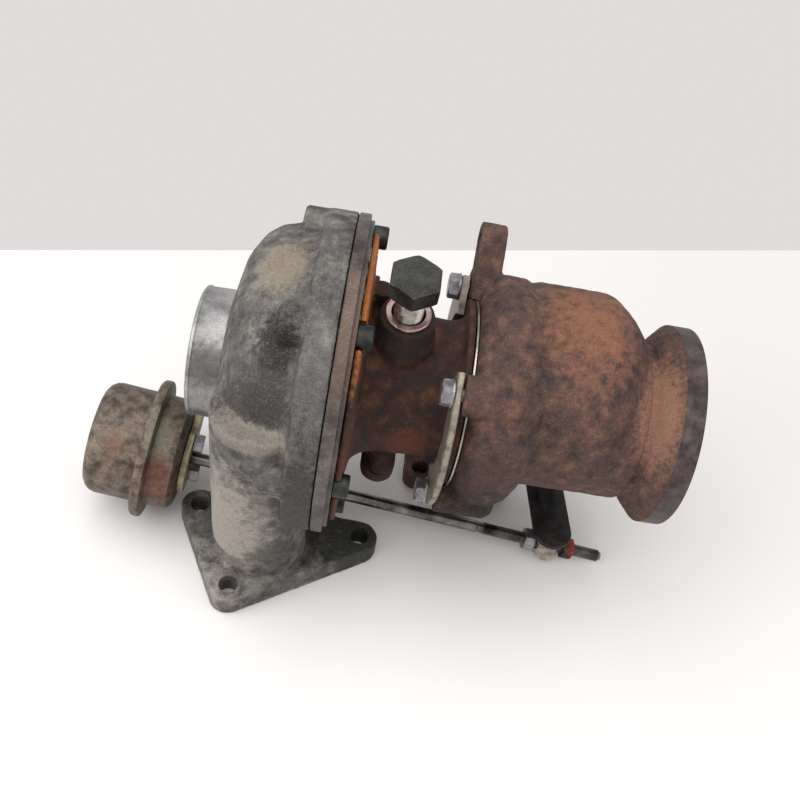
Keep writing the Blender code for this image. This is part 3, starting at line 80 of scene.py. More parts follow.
def node(tree, kind, inputs=None, stops=(), **settings):
    """Adds a node. An input given as another node's socket is linked, and stops are a ramp's colours."""
    made = tree.nodes.new(kind)
    for name, value in settings.items():
        setattr(made, name, value)
    for name, value in (inputs or {}).items():
        if isinstance(value, bpy.types.NodeSocket):
            tree.links.new(value, made.inputs[name])
        else:
            made.inputs[name].default_value = value
    for i, (place, colour) in enumerate(stops):
        element = made.color_ramp.elements[i] if i < 2 else made.color_ramp.elements.new(place)
        element.position = place
        element.color = linear(colour)
    return made


paper = bpy.data.materials.new("matte white paper")
paper.use_nodes = True
sheet = paper.node_tree
paper_face = sheet.nodes["Principled BSDF"]
paper_place = node(sheet, "ShaderNodeTexCoord")
paper_cloud = node(sheet, "ShaderNodeTexNoise", {"Vector": paper_place.outputs["Object"], "Scale": 3.0})
paper_tone = node(
    sheet, "ShaderNodeValToRGB", {"Fac": paper_cloud.outputs["Fac"]}, stops=((0.3, "#d9d7d5"), (0.7, "#e2e0de"))
)
sheet.links.new(paper_tone.outputs["Color"], paper_face.inputs["Base Color"])
paper_face.inputs["Roughness"].default_value = 0.45

bpy.ops.object.select_all(action="DESELECT")
bpy.ops.mesh.primitive_plane_add(size=1.0, location=(0, 0, 0))
floor = bpy.context.object
floor.name = "floor"
table_far = (-2.4, 2.4)
near_edge = -3.0
edge_left = spot(-215, 147, 0).xy
edge_right = spot(317, 289, 0).xy
along = (edge_right - edge_left).normalized()
for corner in floor.data.vertices:
    side = 1 if corner.co.x > 0 else -1
    if corner.co.y > 0:
        corner.co = (*(edge_left + along * side * table_far[1]), 0)
    else:
        corner.co = (side * table_far[1], near_edge, 0)
floor.data.materials.append(paper)

world = bpy.data.worlds.new("pale room")
bpy.context.scene.world = world
world.use_nodes = True
world.node_tree.nodes["Background"].inputs["Color"].default_value = linear("#f2eeee")
world.node_tree.nodes["Background"].inputs["Strength"].default_value = 0.84

lamps = (
    ("overhead", (-250, -150, 900), 1.1, 9.0, (0, 0, 60)),
    ("window_left", (-900, -500, 500), 0.8, 5.0, (0, 0, 60)),
    ("bounce_right", (900, -300, 400), 0.8, 2.0, (0, 0, 60)),
)
for name, place, size, power, target in lamps:
    lamp_data = bpy.data.lights.new(name, "AREA")
    lamp_data.size = size
    lamp_data.energy = power
    lamp = bpy.data.objects.new(name, lamp_data)
    bpy.context.scene.collection.objects.link(lamp)
    lamp.location = spot(*place)
    aim = spot(*target) - lamp.location
    lamp.rotation_euler = aim.to_track_quat("-Z", "Y").to_euler()

camera_data = bpy.data.cameras.new("camera")
camera_data.lens = 42.75
camera_data.sensor_width = 36
camera = bpy.data.objects.new("camera", camera_data)
bpy.context.scene.collection.objects.link(camera)
right = Vector((0.986, 0.082, 0.146)).normalized()
forward = Vector((0.053, 0.676, -0.735)).normalized()
up = right.cross(forward)
camera.matrix_world = Matrix.Translation(spot(7.8, -287.8, 301.6)) @ Matrix((right, up, -forward)).transposed().to_4x4()
bpy.context.scene.camera = camera
bpy.context.scene.view_settings.view_transform = "Standard"


# Compressor cover. A die casting of aluminium, grey with oil and soot, with sand-blasted bolt ears, an
# outlet duct that ends in a three-hole flange, and two bosses for the actuator's bracket.
def ringed(name, rings, place=shaft, sides=96, hollow=False):
    """A round piece along X: a circle drawn out and scaled from ring to ring. Rings are (x, radius)."""
    bpy.ops.object.select_all(action="DESELECT")
    start, radius = rings[0]
    bpy.ops.mesh.primitive_circle_add(
        vertices=sides,
        radius=radius * mm,
        fill_type="NOTHING" if hollow else "NGON",
        location=(start * mm, 0, 0),
        rotation=(0, math.pi / 2, 0),
    )
    bpy.ops.object.transform_apply(location=True, rotation=True, scale=True)
    bpy.ops.object.mode_set(mode="EDIT")
    bpy.ops.mesh.select_all(action="SELECT")
    for (x_before, radius_before), (x, radius) in zip(rings, rings[1:]):
        swell = radius / radius_before
        bpy.ops.mesh.extrude_region()
        bpy.ops.transform.translate(value=((x - x_before) * mm, 0, 0))
        bpy.ops.transform.resize(value=(1, swell, swell), center_override=(x * mm, 0, 0))
    bpy.ops.mesh.select_all(action="SELECT")
    bpy.ops.mesh.remove_doubles(threshold=0.005 * mm)
    bpy.ops.mesh.normals_make_consistent(inside=False)
    bpy.ops.object.mode_set(mode="OBJECT")
    bpy.context.object.name = name
    return lay(bpy.context.object, place)


def lay(piece, place):
    """Puts a piece that was made along X in its place, and leaves the object itself unturned."""
    bpy.ops.object.select_all(action="DESELECT")
    piece.select_set(True)
    bpy.context.view_layer.objects.active = piece
    piece.matrix_world = place
    bpy.ops.object.transform_apply(location=True, rotation=True, scale=True)
    return piece


def plate(name, discs, low, high, place=shaft, sides=32):
    """A flat plate from low to high along X that just wraps round discs, given as (y, z, radius)."""
    bpy.ops.object.select_all(action="DESELECT")
    for y, z, radius in discs:
        bpy.ops.mesh.primitive_cylinder_add(
            vertices=sides,
            radius=radius * mm,
            depth=(high - low) * mm,
            location=((high + low) / 2 * mm, y * mm, z * mm),
            rotation=(0, math.pi / 2, 0),
        )
        if bpy.context.object.mode == "OBJECT":
            bpy.ops.object.transform_apply(location=True, rotation=True, scale=True)
            bpy.ops.object.mode_set(mode="EDIT")
    bpy.ops.mesh.select_all(action="SELECT")
    bpy.ops.mesh.convex_hull()
    bpy.ops.mesh.dissolve_limited(angle_limit=math.radians(1))
    bpy.ops.mesh.normals_make_consistent(inside=False)
    bpy.ops.object.mode_set(mode="OBJECT")
    bpy.context.object.name = name
    return lay(bpy.context.object, place)


def boolean(piece, operation, *tools):
    """Joins the tools to the piece, cuts them out of it or trims it to them, and uses them up."""
    for tool in tools:
        shape = piece.modifiers.new("shape", "BOOLEAN")
        shape.operation = operation
        shape.object = tool
        bpy.context.view_layer.objects.active = piece
        bpy.ops.object.modifier_apply(modifier=shape.name)
        bpy.data.objects.remove(tool)
    return piece


def cast(name, shapes, skin, rounding, grain):
    """One casting out of overlapping shapes: a skin of that size in mm, rounded corners and a sandy grain."""
    bpy.ops.object.select_all(action="DESELECT")
    for shape in shapes:
        shape.select_set(True)
    bpy.context.view_layer.objects.active = shapes[0]
    bpy.ops.object.join()
    casting = bpy.context.object
    casting.name = name
    wrap = casting.modifiers.new("skin", "REMESH")
    wrap.mode = "VOXEL"
    wrap.voxel_size = skin * mm
    rounds = casting.modifiers.new("rounds", "SMOOTH")
    rounds.factor = 0.5
    rounds.iterations = rounding
    sand = bpy.data.textures.new(name + " sand", "CLOUDS")
    sand.noise_scale = 3.5 * mm
    sand.noise_depth = 3
    rough = casting.modifiers.new("rough", "DISPLACE")
    rough.texture = sand
    rough.texture_coords = "LOCAL"
    rough.strength = grain * mm
    rough.mid_level = 0.75
    for modifier in ("skin", "rounds", "rough"):
        bpy.ops.object.modifier_apply(modifier=modifier)
    return casting


def finish(piece, material, body, slot, *nodes, crease=35):
    """Gives a piece its finish and the body it moves with, and puts it in place of the plain solids."""
    bpy.ops.object.select_all(action="DESELECT")
    piece.select_set(True)
    bpy.context.view_layer.objects.active = piece
    bpy.ops.object.shade_smooth_by_angle(angle=math.radians(crease))
    piece.data.materials.clear()
    piece.data.materials.append(material)
    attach(piece, body)
    if nodes:
        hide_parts(*nodes)
    return piece


def worn_metal(name, shades, patch, grain, metallic, roughness, bump, stains_and_painted_light=(), flecks=0.0):
    """A metal with broad patches of its shades, dark and light specks, and a rough skin.

    patch and grain are the sizes of the patches and of the skin's grain in millimetres, and bump is the depth
    of that grain. Each entry of stains_and_painted_light is (centre, reach, colour, cover, ragged): an ellipsoid
    of a colour with a ragged edge. Some entries are rust and oil marks the metal has; others are painted shade
    and painted highlight.
    """
    material = bpy.data.materials.new(name)
    material.use_nodes = True
    tree = material.node_tree
    face = tree.nodes["Principled BSDF"]
    where = node(tree, "ShaderNodeTexCoord").outputs["Object"]
    broad = node(tree, "ShaderNodeTexNoise", {"Vector": where, "Scale": 1000 / patch, "Detail": 5.0, "Roughness": 0.62})
    fine = node(tree, "ShaderNodeTexNoise", {"Vector": where, "Scale": 1000 / grain, "Detail": 3.0, "Roughness": 0.6})
    spread = [0.34 + 0.32 * i / max(1, len(shades) - 1) for i in range(len(shades))]
    colour = node(
        tree, "ShaderNodeValToRGB", {"Fac": broad.outputs["Fac"]}, stops=tuple(zip(spread, shades))
    ).outputs["Color"]
    for centre, reach, stain_and_light_colour, cover, ragged in stains_and_painted_light:
        shift = node(
            tree,
            "ShaderNodeVectorMath",
            {0: where, 1: spot(*centre)},
            operation="SUBTRACT",
        )
        inside = node(
            tree,
            "ShaderNodeVectorMath",
            {0: shift.outputs["Vector"], 1: Vector(reach) * mm},
            operation="DIVIDE",
        )
        far = node(tree, "ShaderNodeVectorMath", {0: inside.outputs["Vector"]}, operation="LENGTH")
        rag = node(tree, "ShaderNodeTexNoise", {"Vector": where, "Scale": 1000 / ragged, "Detail": 6.0, "Roughness": 0.7})
        frayed = node(
            tree,
            "ShaderNodeMath",
            {0: rag.outputs["Fac"], 1: 2.2, 2: far.outputs["Value"]},
            operation="MULTIPLY_ADD",
        )
        amount = node(
            tree,
            "ShaderNodeMapRange",
            {"Value": frayed.outputs["Value"], "From Min": 2.35, "From Max": 1.75, "To Min": 0.0, "To Max": cover},
        )
        colour = node(
            tree, "ShaderNodeMixRGB", {"Fac": amount.outputs["Result"], "Color1": colour, "Color2": linear(stain_and_light_colour)}
        ).outputs["Color"]
    speck = node(
        tree,
        "ShaderNodeMapRange",
        {"Value": fine.outputs["Fac"], "From Min": 0.3, "From Max": 0.7, "To Min": 0.72, "To Max": 1.26},
    )
    colour = node(
        tree,
        "ShaderNodeMixRGB",
        {"Fac": 1.0, "Color1": colour, "Color2": speck.outputs["Result"]},
        blend_type="MULTIPLY",
    ).outputs["Color"]
    dust = node(tree, "ShaderNodeTexNoise", {"Vector": where, "Scale": 1400 / grain, "Detail": 2.0})
    fleck = node(
        tree,
        "ShaderNodeMapRange",
        {"Value": dust.outputs["Fac"], "From Min": 0.58, "From Max": 0.68, "To Min": 0.0, "To Max": flecks},
    )
    colour = node(
        tree, "ShaderNodeMixRGB", {"Fac": fleck.outputs["Result"], "Color1": colour, "Color2": linear("#b9ada2")}
    ).outputs["Color"]
    tree.links.new(colour, face.inputs["Base Color"])
    shine = node(
        tree,
        "ShaderNodeMapRange",
        {
            "Value": broad.outputs["Fac"],
            "From Min": 0.3,
            "From Max": 0.7,
            "To Min": roughness - 0.1,
            "To Max": min(1.0, roughness + 0.12),
        },
    )
    tree.links.new(shine.outputs["Result"], face.inputs["Roughness"])
    face.inputs["Metallic"].default_value = metallic
    if bump:
        skin = node(
            tree,
            "ShaderNodeBump",
            {"Height": fine.outputs["Fac"], "Strength": 1.0, "Distance": bump * mm},
        )
        tree.links.new(skin.outputs["Normal"], face.inputs["Normal"])
    return material


def around(radius, degrees):
    """The (y, z) of a point at a radius from the shaft, turned from the top towards the front."""
    angle = math.radians(degrees)
    return -radius * math.sin(angle), radius * math.cos(angle)


def blade_tips(start, end, radial_first, steps=10):
    """Points (x, radius) of a quarter ellipse: the line that a wheel's blade tips follow."""
    points = []
    for k in range(steps + 1):
        angle = math.pi / 2 * k / steps
        slow, quick = 1 - math.cos(angle), math.sin(angle)
        x_share, radius_share = (slow, quick) if radial_first else (quick, slow)
        points.append((start[0] + (end[0] - start[0]) * x_share, start[1] + (end[1] - start[1]) * radius_share))
    return points


cast_aluminium = worn_metal(
    "weathered die-cast aluminium, painted shade and highlight",
    ("#2f2d2b", "#4a4845", "#5f5c58", "#7a7671"),
    7,
    0.8,
    0.25,
    0.66,
    0.3,
    (
        ((-21, -38, 49), (9, 15, 14), "#141312", 0.95, 2.5),
        # painted shade: darker grey in the crease where the duct's shoulder meets the body, above the ledge
        ((-30, -52, 28), (14, 14, 22), "#383431", 0.7, 4),
        ((-8, -52, 30), (8, 30, 34), "#5c5858", 0.6, 4),
        ((-26, -6, 62), (10, 14, 14), "#857b69", 0.75, 2.5),
        ((-40, -70, -44), (24, 40, 44), "#979087", 0.85, 5),
        # painted shade in the pocket just above the ledge
        ((-26, -58, 33), (16, 14, 9), "#2e2b29", 0.8, 2),
        # painted highlight: a lighter beige band along the lit top of the ledge
        ((-28, -60, 20), (22, 16, 3.5), "#8b8377", 0.6, 1.5),
        ((-6, -66, -14), (9, 18, 44), "#2a2827", 0.85, 3),
        ((-16, -62, -58), (10, 16, 12), "#2c2a26", 0.7, 4),
        # painted shade on the foot flange under the bearing housing, close to the floor
        ((30, -22, -88), (36, 30, 12), "#20231f", 0.9, 5),
    ),
    0.16,
)
bolt_circle = 61.0
bolt_angles = [30 + 60 * i for i in range(6)]
can_place = (
    Matrix.Translation(spot(-80, -8.8, -62.5))
    @ Matrix.Rotation(math.radians(-1.1), 4, "Z")
    @ Matrix.Rotation(math.radians(6.6), 4, "Y")
)
bracket_turn = math.radians(35)
bracket_bolts = [(reach * math.cos(bracket_turn), reach * math.sin(bracket_turn)) for reach in (39.0, 58.5)]
flange_holes = ((-55.4, -21.1), (-33.3, -62.4), (23.1, -25.7))
standing = Matrix.Translation(seam) @ upright

shapes = [
    ringed(
        "body",
        [
            (-0.3, 69.6),
            (-12.6, 69.6),
            (-13.4, 63.2),
            (-22.5, 61.6),
            (-31, 59.2),
            (-36.8, 55),
            (-42.2, 46.4),
            (-44.4, 37.4),
            (-46, 30),
            (-47, 27),
        ],
    )
]
for angle in bolt_angles:
    y, z = around(bolt_circle, angle)
    shapes.append(ringed("ear", [(-22.5, 7.6), (-21.5, 8.6), (-0.4, 8.6)], shaft @ Matrix.Translation(Vector((0, y, z)) * mm), 32))
duct_foot = Vector((-22, -37, -95))
duct_top = Vector((-24, -42, 7))
duct = duct_top - duct_foot
ledge = 20.0
duct_place = Matrix.Translation(seam + duct_foot * mm) @ duct.to_track_quat("X", "Z").to_matrix().to_4x4()
shapes.append(ringed("duct", [(0, 21.5), (14, 20.2), (duct.length - ledge, 20), (duct.length + ledge - 7, 21.3),
                            (duct.length + ledge - 6.4, 20.6)], duct_place, 64))
shapes.append(
    ringed("shoulder", [(-60, 19), (20, 20.6), (22, 20)], Matrix.Translation(spot(-25, -45.5, 0)) @ upright, 64)
)
flange_discs = [(y, -x, 9.0) for x, y in flange_holes]
shapes.append(plate("flange", flange_discs, -96, -84, standing))
for y, z in bracket_bolts:
    shapes.append(ringed("boss", [(30.3, 7.5), (50, 7.5)], can_place @ Matrix.Translation(Vector((0, y, z)) * mm), 32))
cover = cast("compressor_cover_casting", shapes, 0.95, 7, 0.35)

wheel_back = -3.5
compressor_tips = blade_tips((-30, 19.0), (-9.5, 26.0), False)
air = [(-49, 24), (-44, 21.2)]
air += [(x - 0.35, radius + 0.35) for x, radius in compressor_tips]
air += [(-8.9, 28.5), (-8.9, 39), (-12, 37.5), (-26, 37.5), (-33, 42), (-35, 47.5), (-31, 54), (-23, 57.5)]
air += [(-10.2, 56.9), (-5.8, 56.3), (1, 56.3)]
tools = [ringed("air", air)]
tools.append(ringed("trim", [(-46.2, 70), (-46.2, 27), (-60, 27), (-60, 70), (-46.2, 70)], hollow=True))
tools.append(ringed("duct_bore", [(-4, 15), (64, 15)], duct_place, 64))
for x, y in flange_holes:
    hole_place = Matrix.Translation(spot(x, y, 0)) @ upright
    tools.append(ringed("hole", [(-98, 4.5), (-80, 4.5)], hole_place, 40))
    tools.append(ringed("spot_face", [(-84.3, 8.0), (-80, 8.0)], hole_place, 40))
level = Matrix.Translation(seam)
tools.append(ringed("foot_cut", [(-100, 90), (-95.95, 90)], standing, 8))
tools.append(ringed("seam_cut", [(-0.3, 90), (4, 90)], shaft, 64))
tools.append(ringed("rod_relief", [(30, 6.5), (120, 6.5)], can_place, 40))
boolean(cover, "DIFFERENCE", *tools)
finish(cover, cast_aluminium, "housings", "cast_aluminium", "compressor_cover")


# Inlet spigot. The same casting turned bright for the air hose, with a raised lip, knocks and oil spots.
turned_aluminium = worn_metal(
    "turned aluminium",
    ("#767676", "#979796", "#aaa9a6"),
    9,
    0.5,
    0.6,
    0.42,
    0.05,
    (((-52, -20, 14), (12, 12, 10), "#4c4c4a", 0.6, 2.5),),
)
spigot = ringed(
    "inlet_spigot",
    [
        (-44, 28.4),
        (-57.6, 28.2),
        (-58.4, 28.7),
        (-59.4, 28.4),
        (-60, 27.4),
        (-60, 26),
        (-59, 25.2),
        (-57, 24.6),
        (-44, 21.2),
        (-43.6, 24),
        (-44, 28.4),
    ],
    sides=160,
    hollow=True,
)
finish(spigot, turned_aluminium, "housings", "machined_aluminium")


# Backplate and its screws. A flat steel plate clamps the cover's rim; six socket screws go in from behind.
plate_steel = worn_metal(
    "stained steel plate",
    ("#3a3634", "#5a5450", "#746c67"),
    12,
    0.8,
    0.6,
    0.5,
    0.08,
    (((3, -30, 50), (10, 30, 30), "#5c4233", 0.5, 3),),
)
bolt_steel = worn_metal("dark green-grey plated steel", ("#1b1e1b", "#2c312d", "#3f453f"), 5, 0.6, 0.7, 0.45, 0.04)
back = ringed(
    "cover_backplate",
    [
        (-2.9, 27),
        (-4.2, 27),
        (-4.2, 56),
        (0, 56),
        (0, 69.2),
        (0.4, 69.6),
        (4.6, 69.6),
        (5.0, 69.2),
        (5.0, 67),
        (6.7, 67),
        (6.7, 8),
        (-2.0, 8),
        (-2.9, 12),
        (-2.9, 27),
    ],
    sides=160,
    hollow=True,
)
boolean(back, "DIFFERENCE", ringed("rod_relief", [(60, 6.5), (120, 6.5)], can_place, 40))
finish(back, plate_steel, "housings", "turned_steel", "backplate")
for i, angle in enumerate(bolt_angles):
    y, z = around(bolt_circle, angle)
    place = shaft @ Matrix.Translation(Vector((0, y, z)) * mm)
    head = [(-12, 2.9), (6.8, 2.9), (6.8, 4.5), (7.1, 4.9), (12.6, 4.9), (13.2, 4.3)]
    bolt = ringed(f"cover_bolt_head_{i + 1}", head, place, 40)
    boolean(bolt, "DIFFERENCE", ringed("socket", [(9.5, 2.9), (14, 2.9)], place, 6))
    finish(bolt, bolt_steel, "housings", "green_steel", f"cover_bolt_{i + 1}")


# Bearing housing. A sand-cast iron spool between the wheels, rust-brown, with a flange to the backplate,
# an oil boss on top, a drain foot below, and a machined joint flange at the turbine end.
rusty_iron = worn_metal(
    "rusty sand-cast iron",
    ("#1a0f0b", "#2c1812", "#3f251a", "#583522"),
    7,
    0.8,
    0.1,
    0.82,
    0.3,
    (
        ((8, -14, 62), (4, 46, 26), "#a2612f", 0.9, 3),
        ((10, -56, 0), (6, 22, 30), "#5a3222", 0.7, 4),
        ((25, -10, 46), (14, 14, 12), "#1c1512", 0.85, 4),
        ((34, -34, -8), (10, 12, 14), "#6a3620", 0.6, 2),
    ),
)
oil_lean = math.radians(10)
oil_up = Vector((0, -math.sin(oil_lean), math.cos(oil_lean)))
oil_place = Matrix.Translation(spot(25.5, 0, 0)) @ oil_up.to_track_quat("X", "Z").to_matrix().to_4x4()
shapes = [
    ringed(
        "spool",
        [
            (6.9, 63.9),
            (9.7, 63.9),
            (10.4, 46),
            (11.8, 36.5),
            (16, 33.2),
            (24, 31.2),
            (46, 30.5),
            (49, 31),
            (51.4, 33),
            (51.4, 41.4),
            (54.4, 41.4),
        ],
    ),
    ringed("oil_boss", [(8, 13.5), (36, 13), (44, 11.4), (48.5, 11.3)], oil_place, 48),
    plate("drain_foot", [(0, -18, 8), (0, 18, 8)], -48, -40, oil_place),
    plate("drain_web", [(0, -12, 7), (0, 12, 7)], -45, -20, oil_place),
    ringed("plug_boss", [(30, 5.5), (44, 5)], Matrix.Translation(spot(14, 10, 0)) @ upright, 32),
    ringed("oil_lug", [(28, 5.6), (40, 5.2), (41.5, 4)],
           Matrix.Translation(spot(25, 0, 0)) @ Vector((0.05, -0.62, -0.78)).to_track_quat("X", "Z").to_matrix().to_4x4(),
           32),
]
housing = cast("bearing_housing_casting", shapes, 0.85, 5, 0.4)
for angle in bolt_angles:
    y, z = around(bolt_circle, angle)
    notch_place = shaft @ Matrix.Translation(Vector((0, y, z)) * mm)
    housing = boolean(housing, "DIFFERENCE", ringed("notch", [(6, 6.3), (11, 6.3)], notch_place, 40))
bore = [(6, 24.9), (13.4, 24.9), (15.2, 22), (15.2, 7.5), (48.5, 7.5), (48.5, 8.3), (56, 8.3)]
tools = [
    ringed("bore", bore),
    ringed("left_face", [(0, 60), (6.8, 60)]),
    ringed("right_face", [(54.5, 60), (60, 60)]),
    ringed("oil_face", [(48.6, 14), (56, 14)], oil_place, 40),
    ringed("oil_thread", [(34, 6.3), (50, 6.3)], oil_place, 40),
    ringed("drain_bore", [(-50, 5.5), (-18, 5.5)], oil_place, 40),
]
for side in (-18, 18):
    tools.append(ringed("drain_hole", [(-50, 3.3), (-36, 3.3)], oil_place @ Matrix.Translation((0, 0, side * mm)), 32))
boolean(housing, "DIFFERENCE", *tools)
finish(housing, rusty_iron, "housings", "rusty_iron", "bearing_housing")


# Oil inlet. A black hollow bolt stands loose in the boss, above a copper sealing washer.
black_oxide = worn_metal(
    "black oxide steel", ("#232422", "#30312f", "#40413e"), 9, 0.4, 0.6, 0.42, 0.05, (), 0.25
)
copper_washer = worn_metal("dull copper", ("#8a6a62", "#b39a94", "#c4aea6"), 4, 0.5, 0.9, 0.35, 0.03)
head_low = 64.5
head_high = 72.5
turned_hex = oil_place @ Matrix.Rotation(math.radians(30), 4, "X")
oil_bolt = ringed("oil_bolt_head", [(head_low, 10.97), (head_high, 10.97)], turned_hex, 6)
chamfer = ringed(
    "chamfer",
    [(head_low, 10.2), (head_low + 0.6, 11.2), (head_high - 0.7, 11.2), (head_high, 10.0)],
    oil_place,
    96,
)
boolean(oil_bolt, "INTERSECT", chamfer)
shank = [(36, 5.4)]
for turn in range(19):
    shank += [(36.4 + turn * 1.25, 5.95), (37.0 + turn * 1.25, 5.5)]
shank += [(60.6, 5.2), (62.6, 5.2), (62.9, 6.0), (head_low + 0.2, 6.0)]
bright_steel = worn_metal("bright plated steel", ("#8f8b84", "#b9b5ac"), 3, 0.4, 0.9, 0.28, 0.03)
shank = ringed("oil_bolt_shank", shank, oil_place, 48)
finish(shank, bright_steel, "housings", "turned_steel", crease=25)
boolean(oil_bolt, "UNION", ringed("washer_face", [(63.4, 8.8), (head_low + 0.2, 9.2)], oil_place, 48))
finish(oil_bolt, black_oxide, "housings", "black_steel", "oil_inlet_bolt", crease=28)
washer = ringed(
    "oil_washer_ring",
    [(48.9, 7.0), (48.9, 8.9), (49.3, 9.3), (50.0, 9.3), (50.4, 8.9), (50.4, 7.0), (48.9, 7.0)],
    oil_place,
    64,
    True,
)
finish(washer, copper_washer, "housings", "copper", "oil_inlet_washer")


# Turbine housing. Nodular iron cast in sand, scaled brown by heat and rusty on top: the gas scroll, the
# wastegate chamber, the neck with its clamp-band rim, the inlet duct and its square flange, and a lug.
scaled_iron = worn_metal(
    "heat-scaled cast iron, painted shade below",
    ("#2a1a16", "#43302a", "#533b32", "#6b4c40"),
    6,
    0.7,
    0.1,
    0.85,
    0.3,
    (
        ((102, 0, 66), (24, 46, 26), "#80543c", 0.85, 4),
        ((134, -20, 26), (9, 24, 20), "#8a6450", 0.7, 2),
        # painted shade: the lower front of the drum darkened where shade falls
        ((70, -46, -40), (20, 26, 34), "#1a100d", 0.9, 5),
        ((112, -50, -34), (22, 20, 16), "#765142", 0.55, 1.5),
        ((66, -50, 6), (10, 12, 16), "#3a2621", 0.6, 3),
    ),
    0.12,
)
lean = Vector((0, 0.735, 0.676)).normalized()
drum_place = Matrix.Translation(seam + lean * 3.0 * mm)
chamber_place = Matrix.Translation(seam + lean * 8.8 * mm)
inlet_x, inlet_y = 70, 42
pivot = Vector(next(j["pos_m"] for j in frame["record"]["behaviour"]["joints"] if j["name"] == "wastegate_turn"))
pivot_x, pivot_y = (pivot.x - seam.x) / mm, (pivot.y - seam.y) / mm
clamp_circle = 45.5
clamp_angles = (45, 135, 225, 315)
lug_place = shaft @ Matrix.Rotation(math.radians(317.5), 4, "X")
shapes = [
    ringed(
        "drum",
        [(55.9, 42.5), (57.5, 45), (61.8, 49.2), (66, 51), (75, 50.8), (80, 47.6), (84, 42.5), (86, 38)],
        drum_place,
    ),
    ringed(
        "chamber",
        [(77, 40), (78, 43.5), (82, 44.7), (111, 44.6), (115, 43.2), (119, 40.2), (124, 36.0), (129, 30)],
        chamber_place,
    ),
    ringed("neck_root", [(100, 35.6), (128, 35.8), (131, 34.6)]),
    plate("inlet_flange", [(y, -x, 6) for x in (48, 92) for y in (22, 62)], -96, -86, standing),
    ringed("inlet_duct", [(-95, 16), (0, 16)], Matrix.Translation(spot(inlet_x, inlet_y, 0)) @ upright, 64),
    ringed("spindle_boss", [(-61.8, 8.8), (-25, 9)], Matrix.Translation(spot(pivot_x, pivot_y, 0)) @ upright, 40),
    plate("lug", [(0, 30, 9), (0, 66, 8.9)], 52.4, 63.9, lug_place),
]
for angle in clamp_angles:
    y, z = around(clamp_circle, angle)
    place = shaft @ Matrix.Translation(Vector((0, y, z)) * mm)
    shapes.append(ringed("boss", [(51.5, 8.6), (74, 8.6), (77.5, 6)], place, 40))
turbine = cast("turbine_housing_casting", shapes, 0.95, 5, 0.5)
neck = ringed(
    "neck",
    [
        (120, 33.6),
        (130.3, 34.4),
        (133.6, 34.2),
        (136.6, 39.0),
        (141.2, 43.9),
        (149.9, 43.9),
        (149.9, 43.6),
        (150, 33),
        (148.6, 31.5),
        (147, 29.6),
        (120, 29.6),
        (120, 33.6),
    ],
    sides=160,
    hollow=True,
)
boolean(turbine, "UNION", neck)
turbine_tips = blade_tips((68.5, 24.6), (82, 18.3), True)
gas = [(58, 34), (59, 34), (60.3, 43.5), (66, 45), (73, 41.5), (75.5, 36), (71.5, 29.5)]
gas += [(x + 0.3, radius + 0.35) for x, radius in turbine_tips]
gas += [(89.5, 18.7)]
valve_x = pivot_x - 7.5
valve_y = pivot_y - 16.0
port_place = Matrix.Translation(spot(0, valve_y, -25))
cavity = ringed("cavity", [(88.5, 40.3), (115.5, 40.3), (121, 35.1), (126, 27)], chamber_place)
boolean(cavity, "DIFFERENCE", ringed("port", [(86, 7.2), (valve_x - 0.3, 7.2)], port_place, 48))
bush_place = Matrix.Translation(spot(pivot_x, pivot_y, 0)) @ upright
tools = [
    ringed("face_cut", [(50, 41.8), (55.8, 41.8), (55.8, 35), (60, 35)]),
    ringed("gas", gas),
    cavity,
    ringed("outlet", [(119, 29.5), (147.2, 29.5)]),
    ringed("port_bore", [(85, 5.2), (valve_x, 5.2)], port_place, 40),
    ringed("inlet_bore", [(-98, 11.5), (-8, 11.5)], Matrix.Translation(spot(inlet_x, inlet_y, 0)) @ upright, 48),
    ringed("foot_cut", [(-100, 90), (-95.95, 90)], standing, 8),
    ringed("spindle_hole", [(-64, 6.5), (-20, 6.5)], bush_place, 40),
    ringed("lug_hole", [(50, 4.3), (66, 4.3)], lug_place @ Matrix.Translation((0, 0, 66 * mm)), 40),
]
for x in (50, 90):
    for y in (24, 60):
        tools.append(ringed("hole", [(-98, 4.5), (-80, 4.5)], Matrix.Translation(spot(x, y, 0)) @ upright, 40))
for angle in clamp_angles:
    y, z = around(clamp_circle, angle)
    tools.append(ringed("boss_face", [(46, 8.5), (51.3, 8.5)], shaft @ Matrix.Translation(Vector((0, y, z)) * mm), 40))
boolean(turbine, "DIFFERENCE", *tools)
finish(turbine, scaled_iron, "housings", "scaled_iron", "turbine_housing")
band_iron = worn_metal("machined iron, browned", ("#2b2423", "#453c3b", "#5a504d"), 6, 0.5, 0.4, 0.5, 0.06)
rim = ringed(
    "outlet_rim_band",
    [(141.3, 43.0), (141.3, 44.05), (149.7, 44.05), (150, 43.6), (150, 33.0), (149, 33.0), (149, 43.0), (141.3, 43.0)],
    sides=192,
    hollow=True,
)
finish(rim, band_iron, "housings", "scaled_iron")


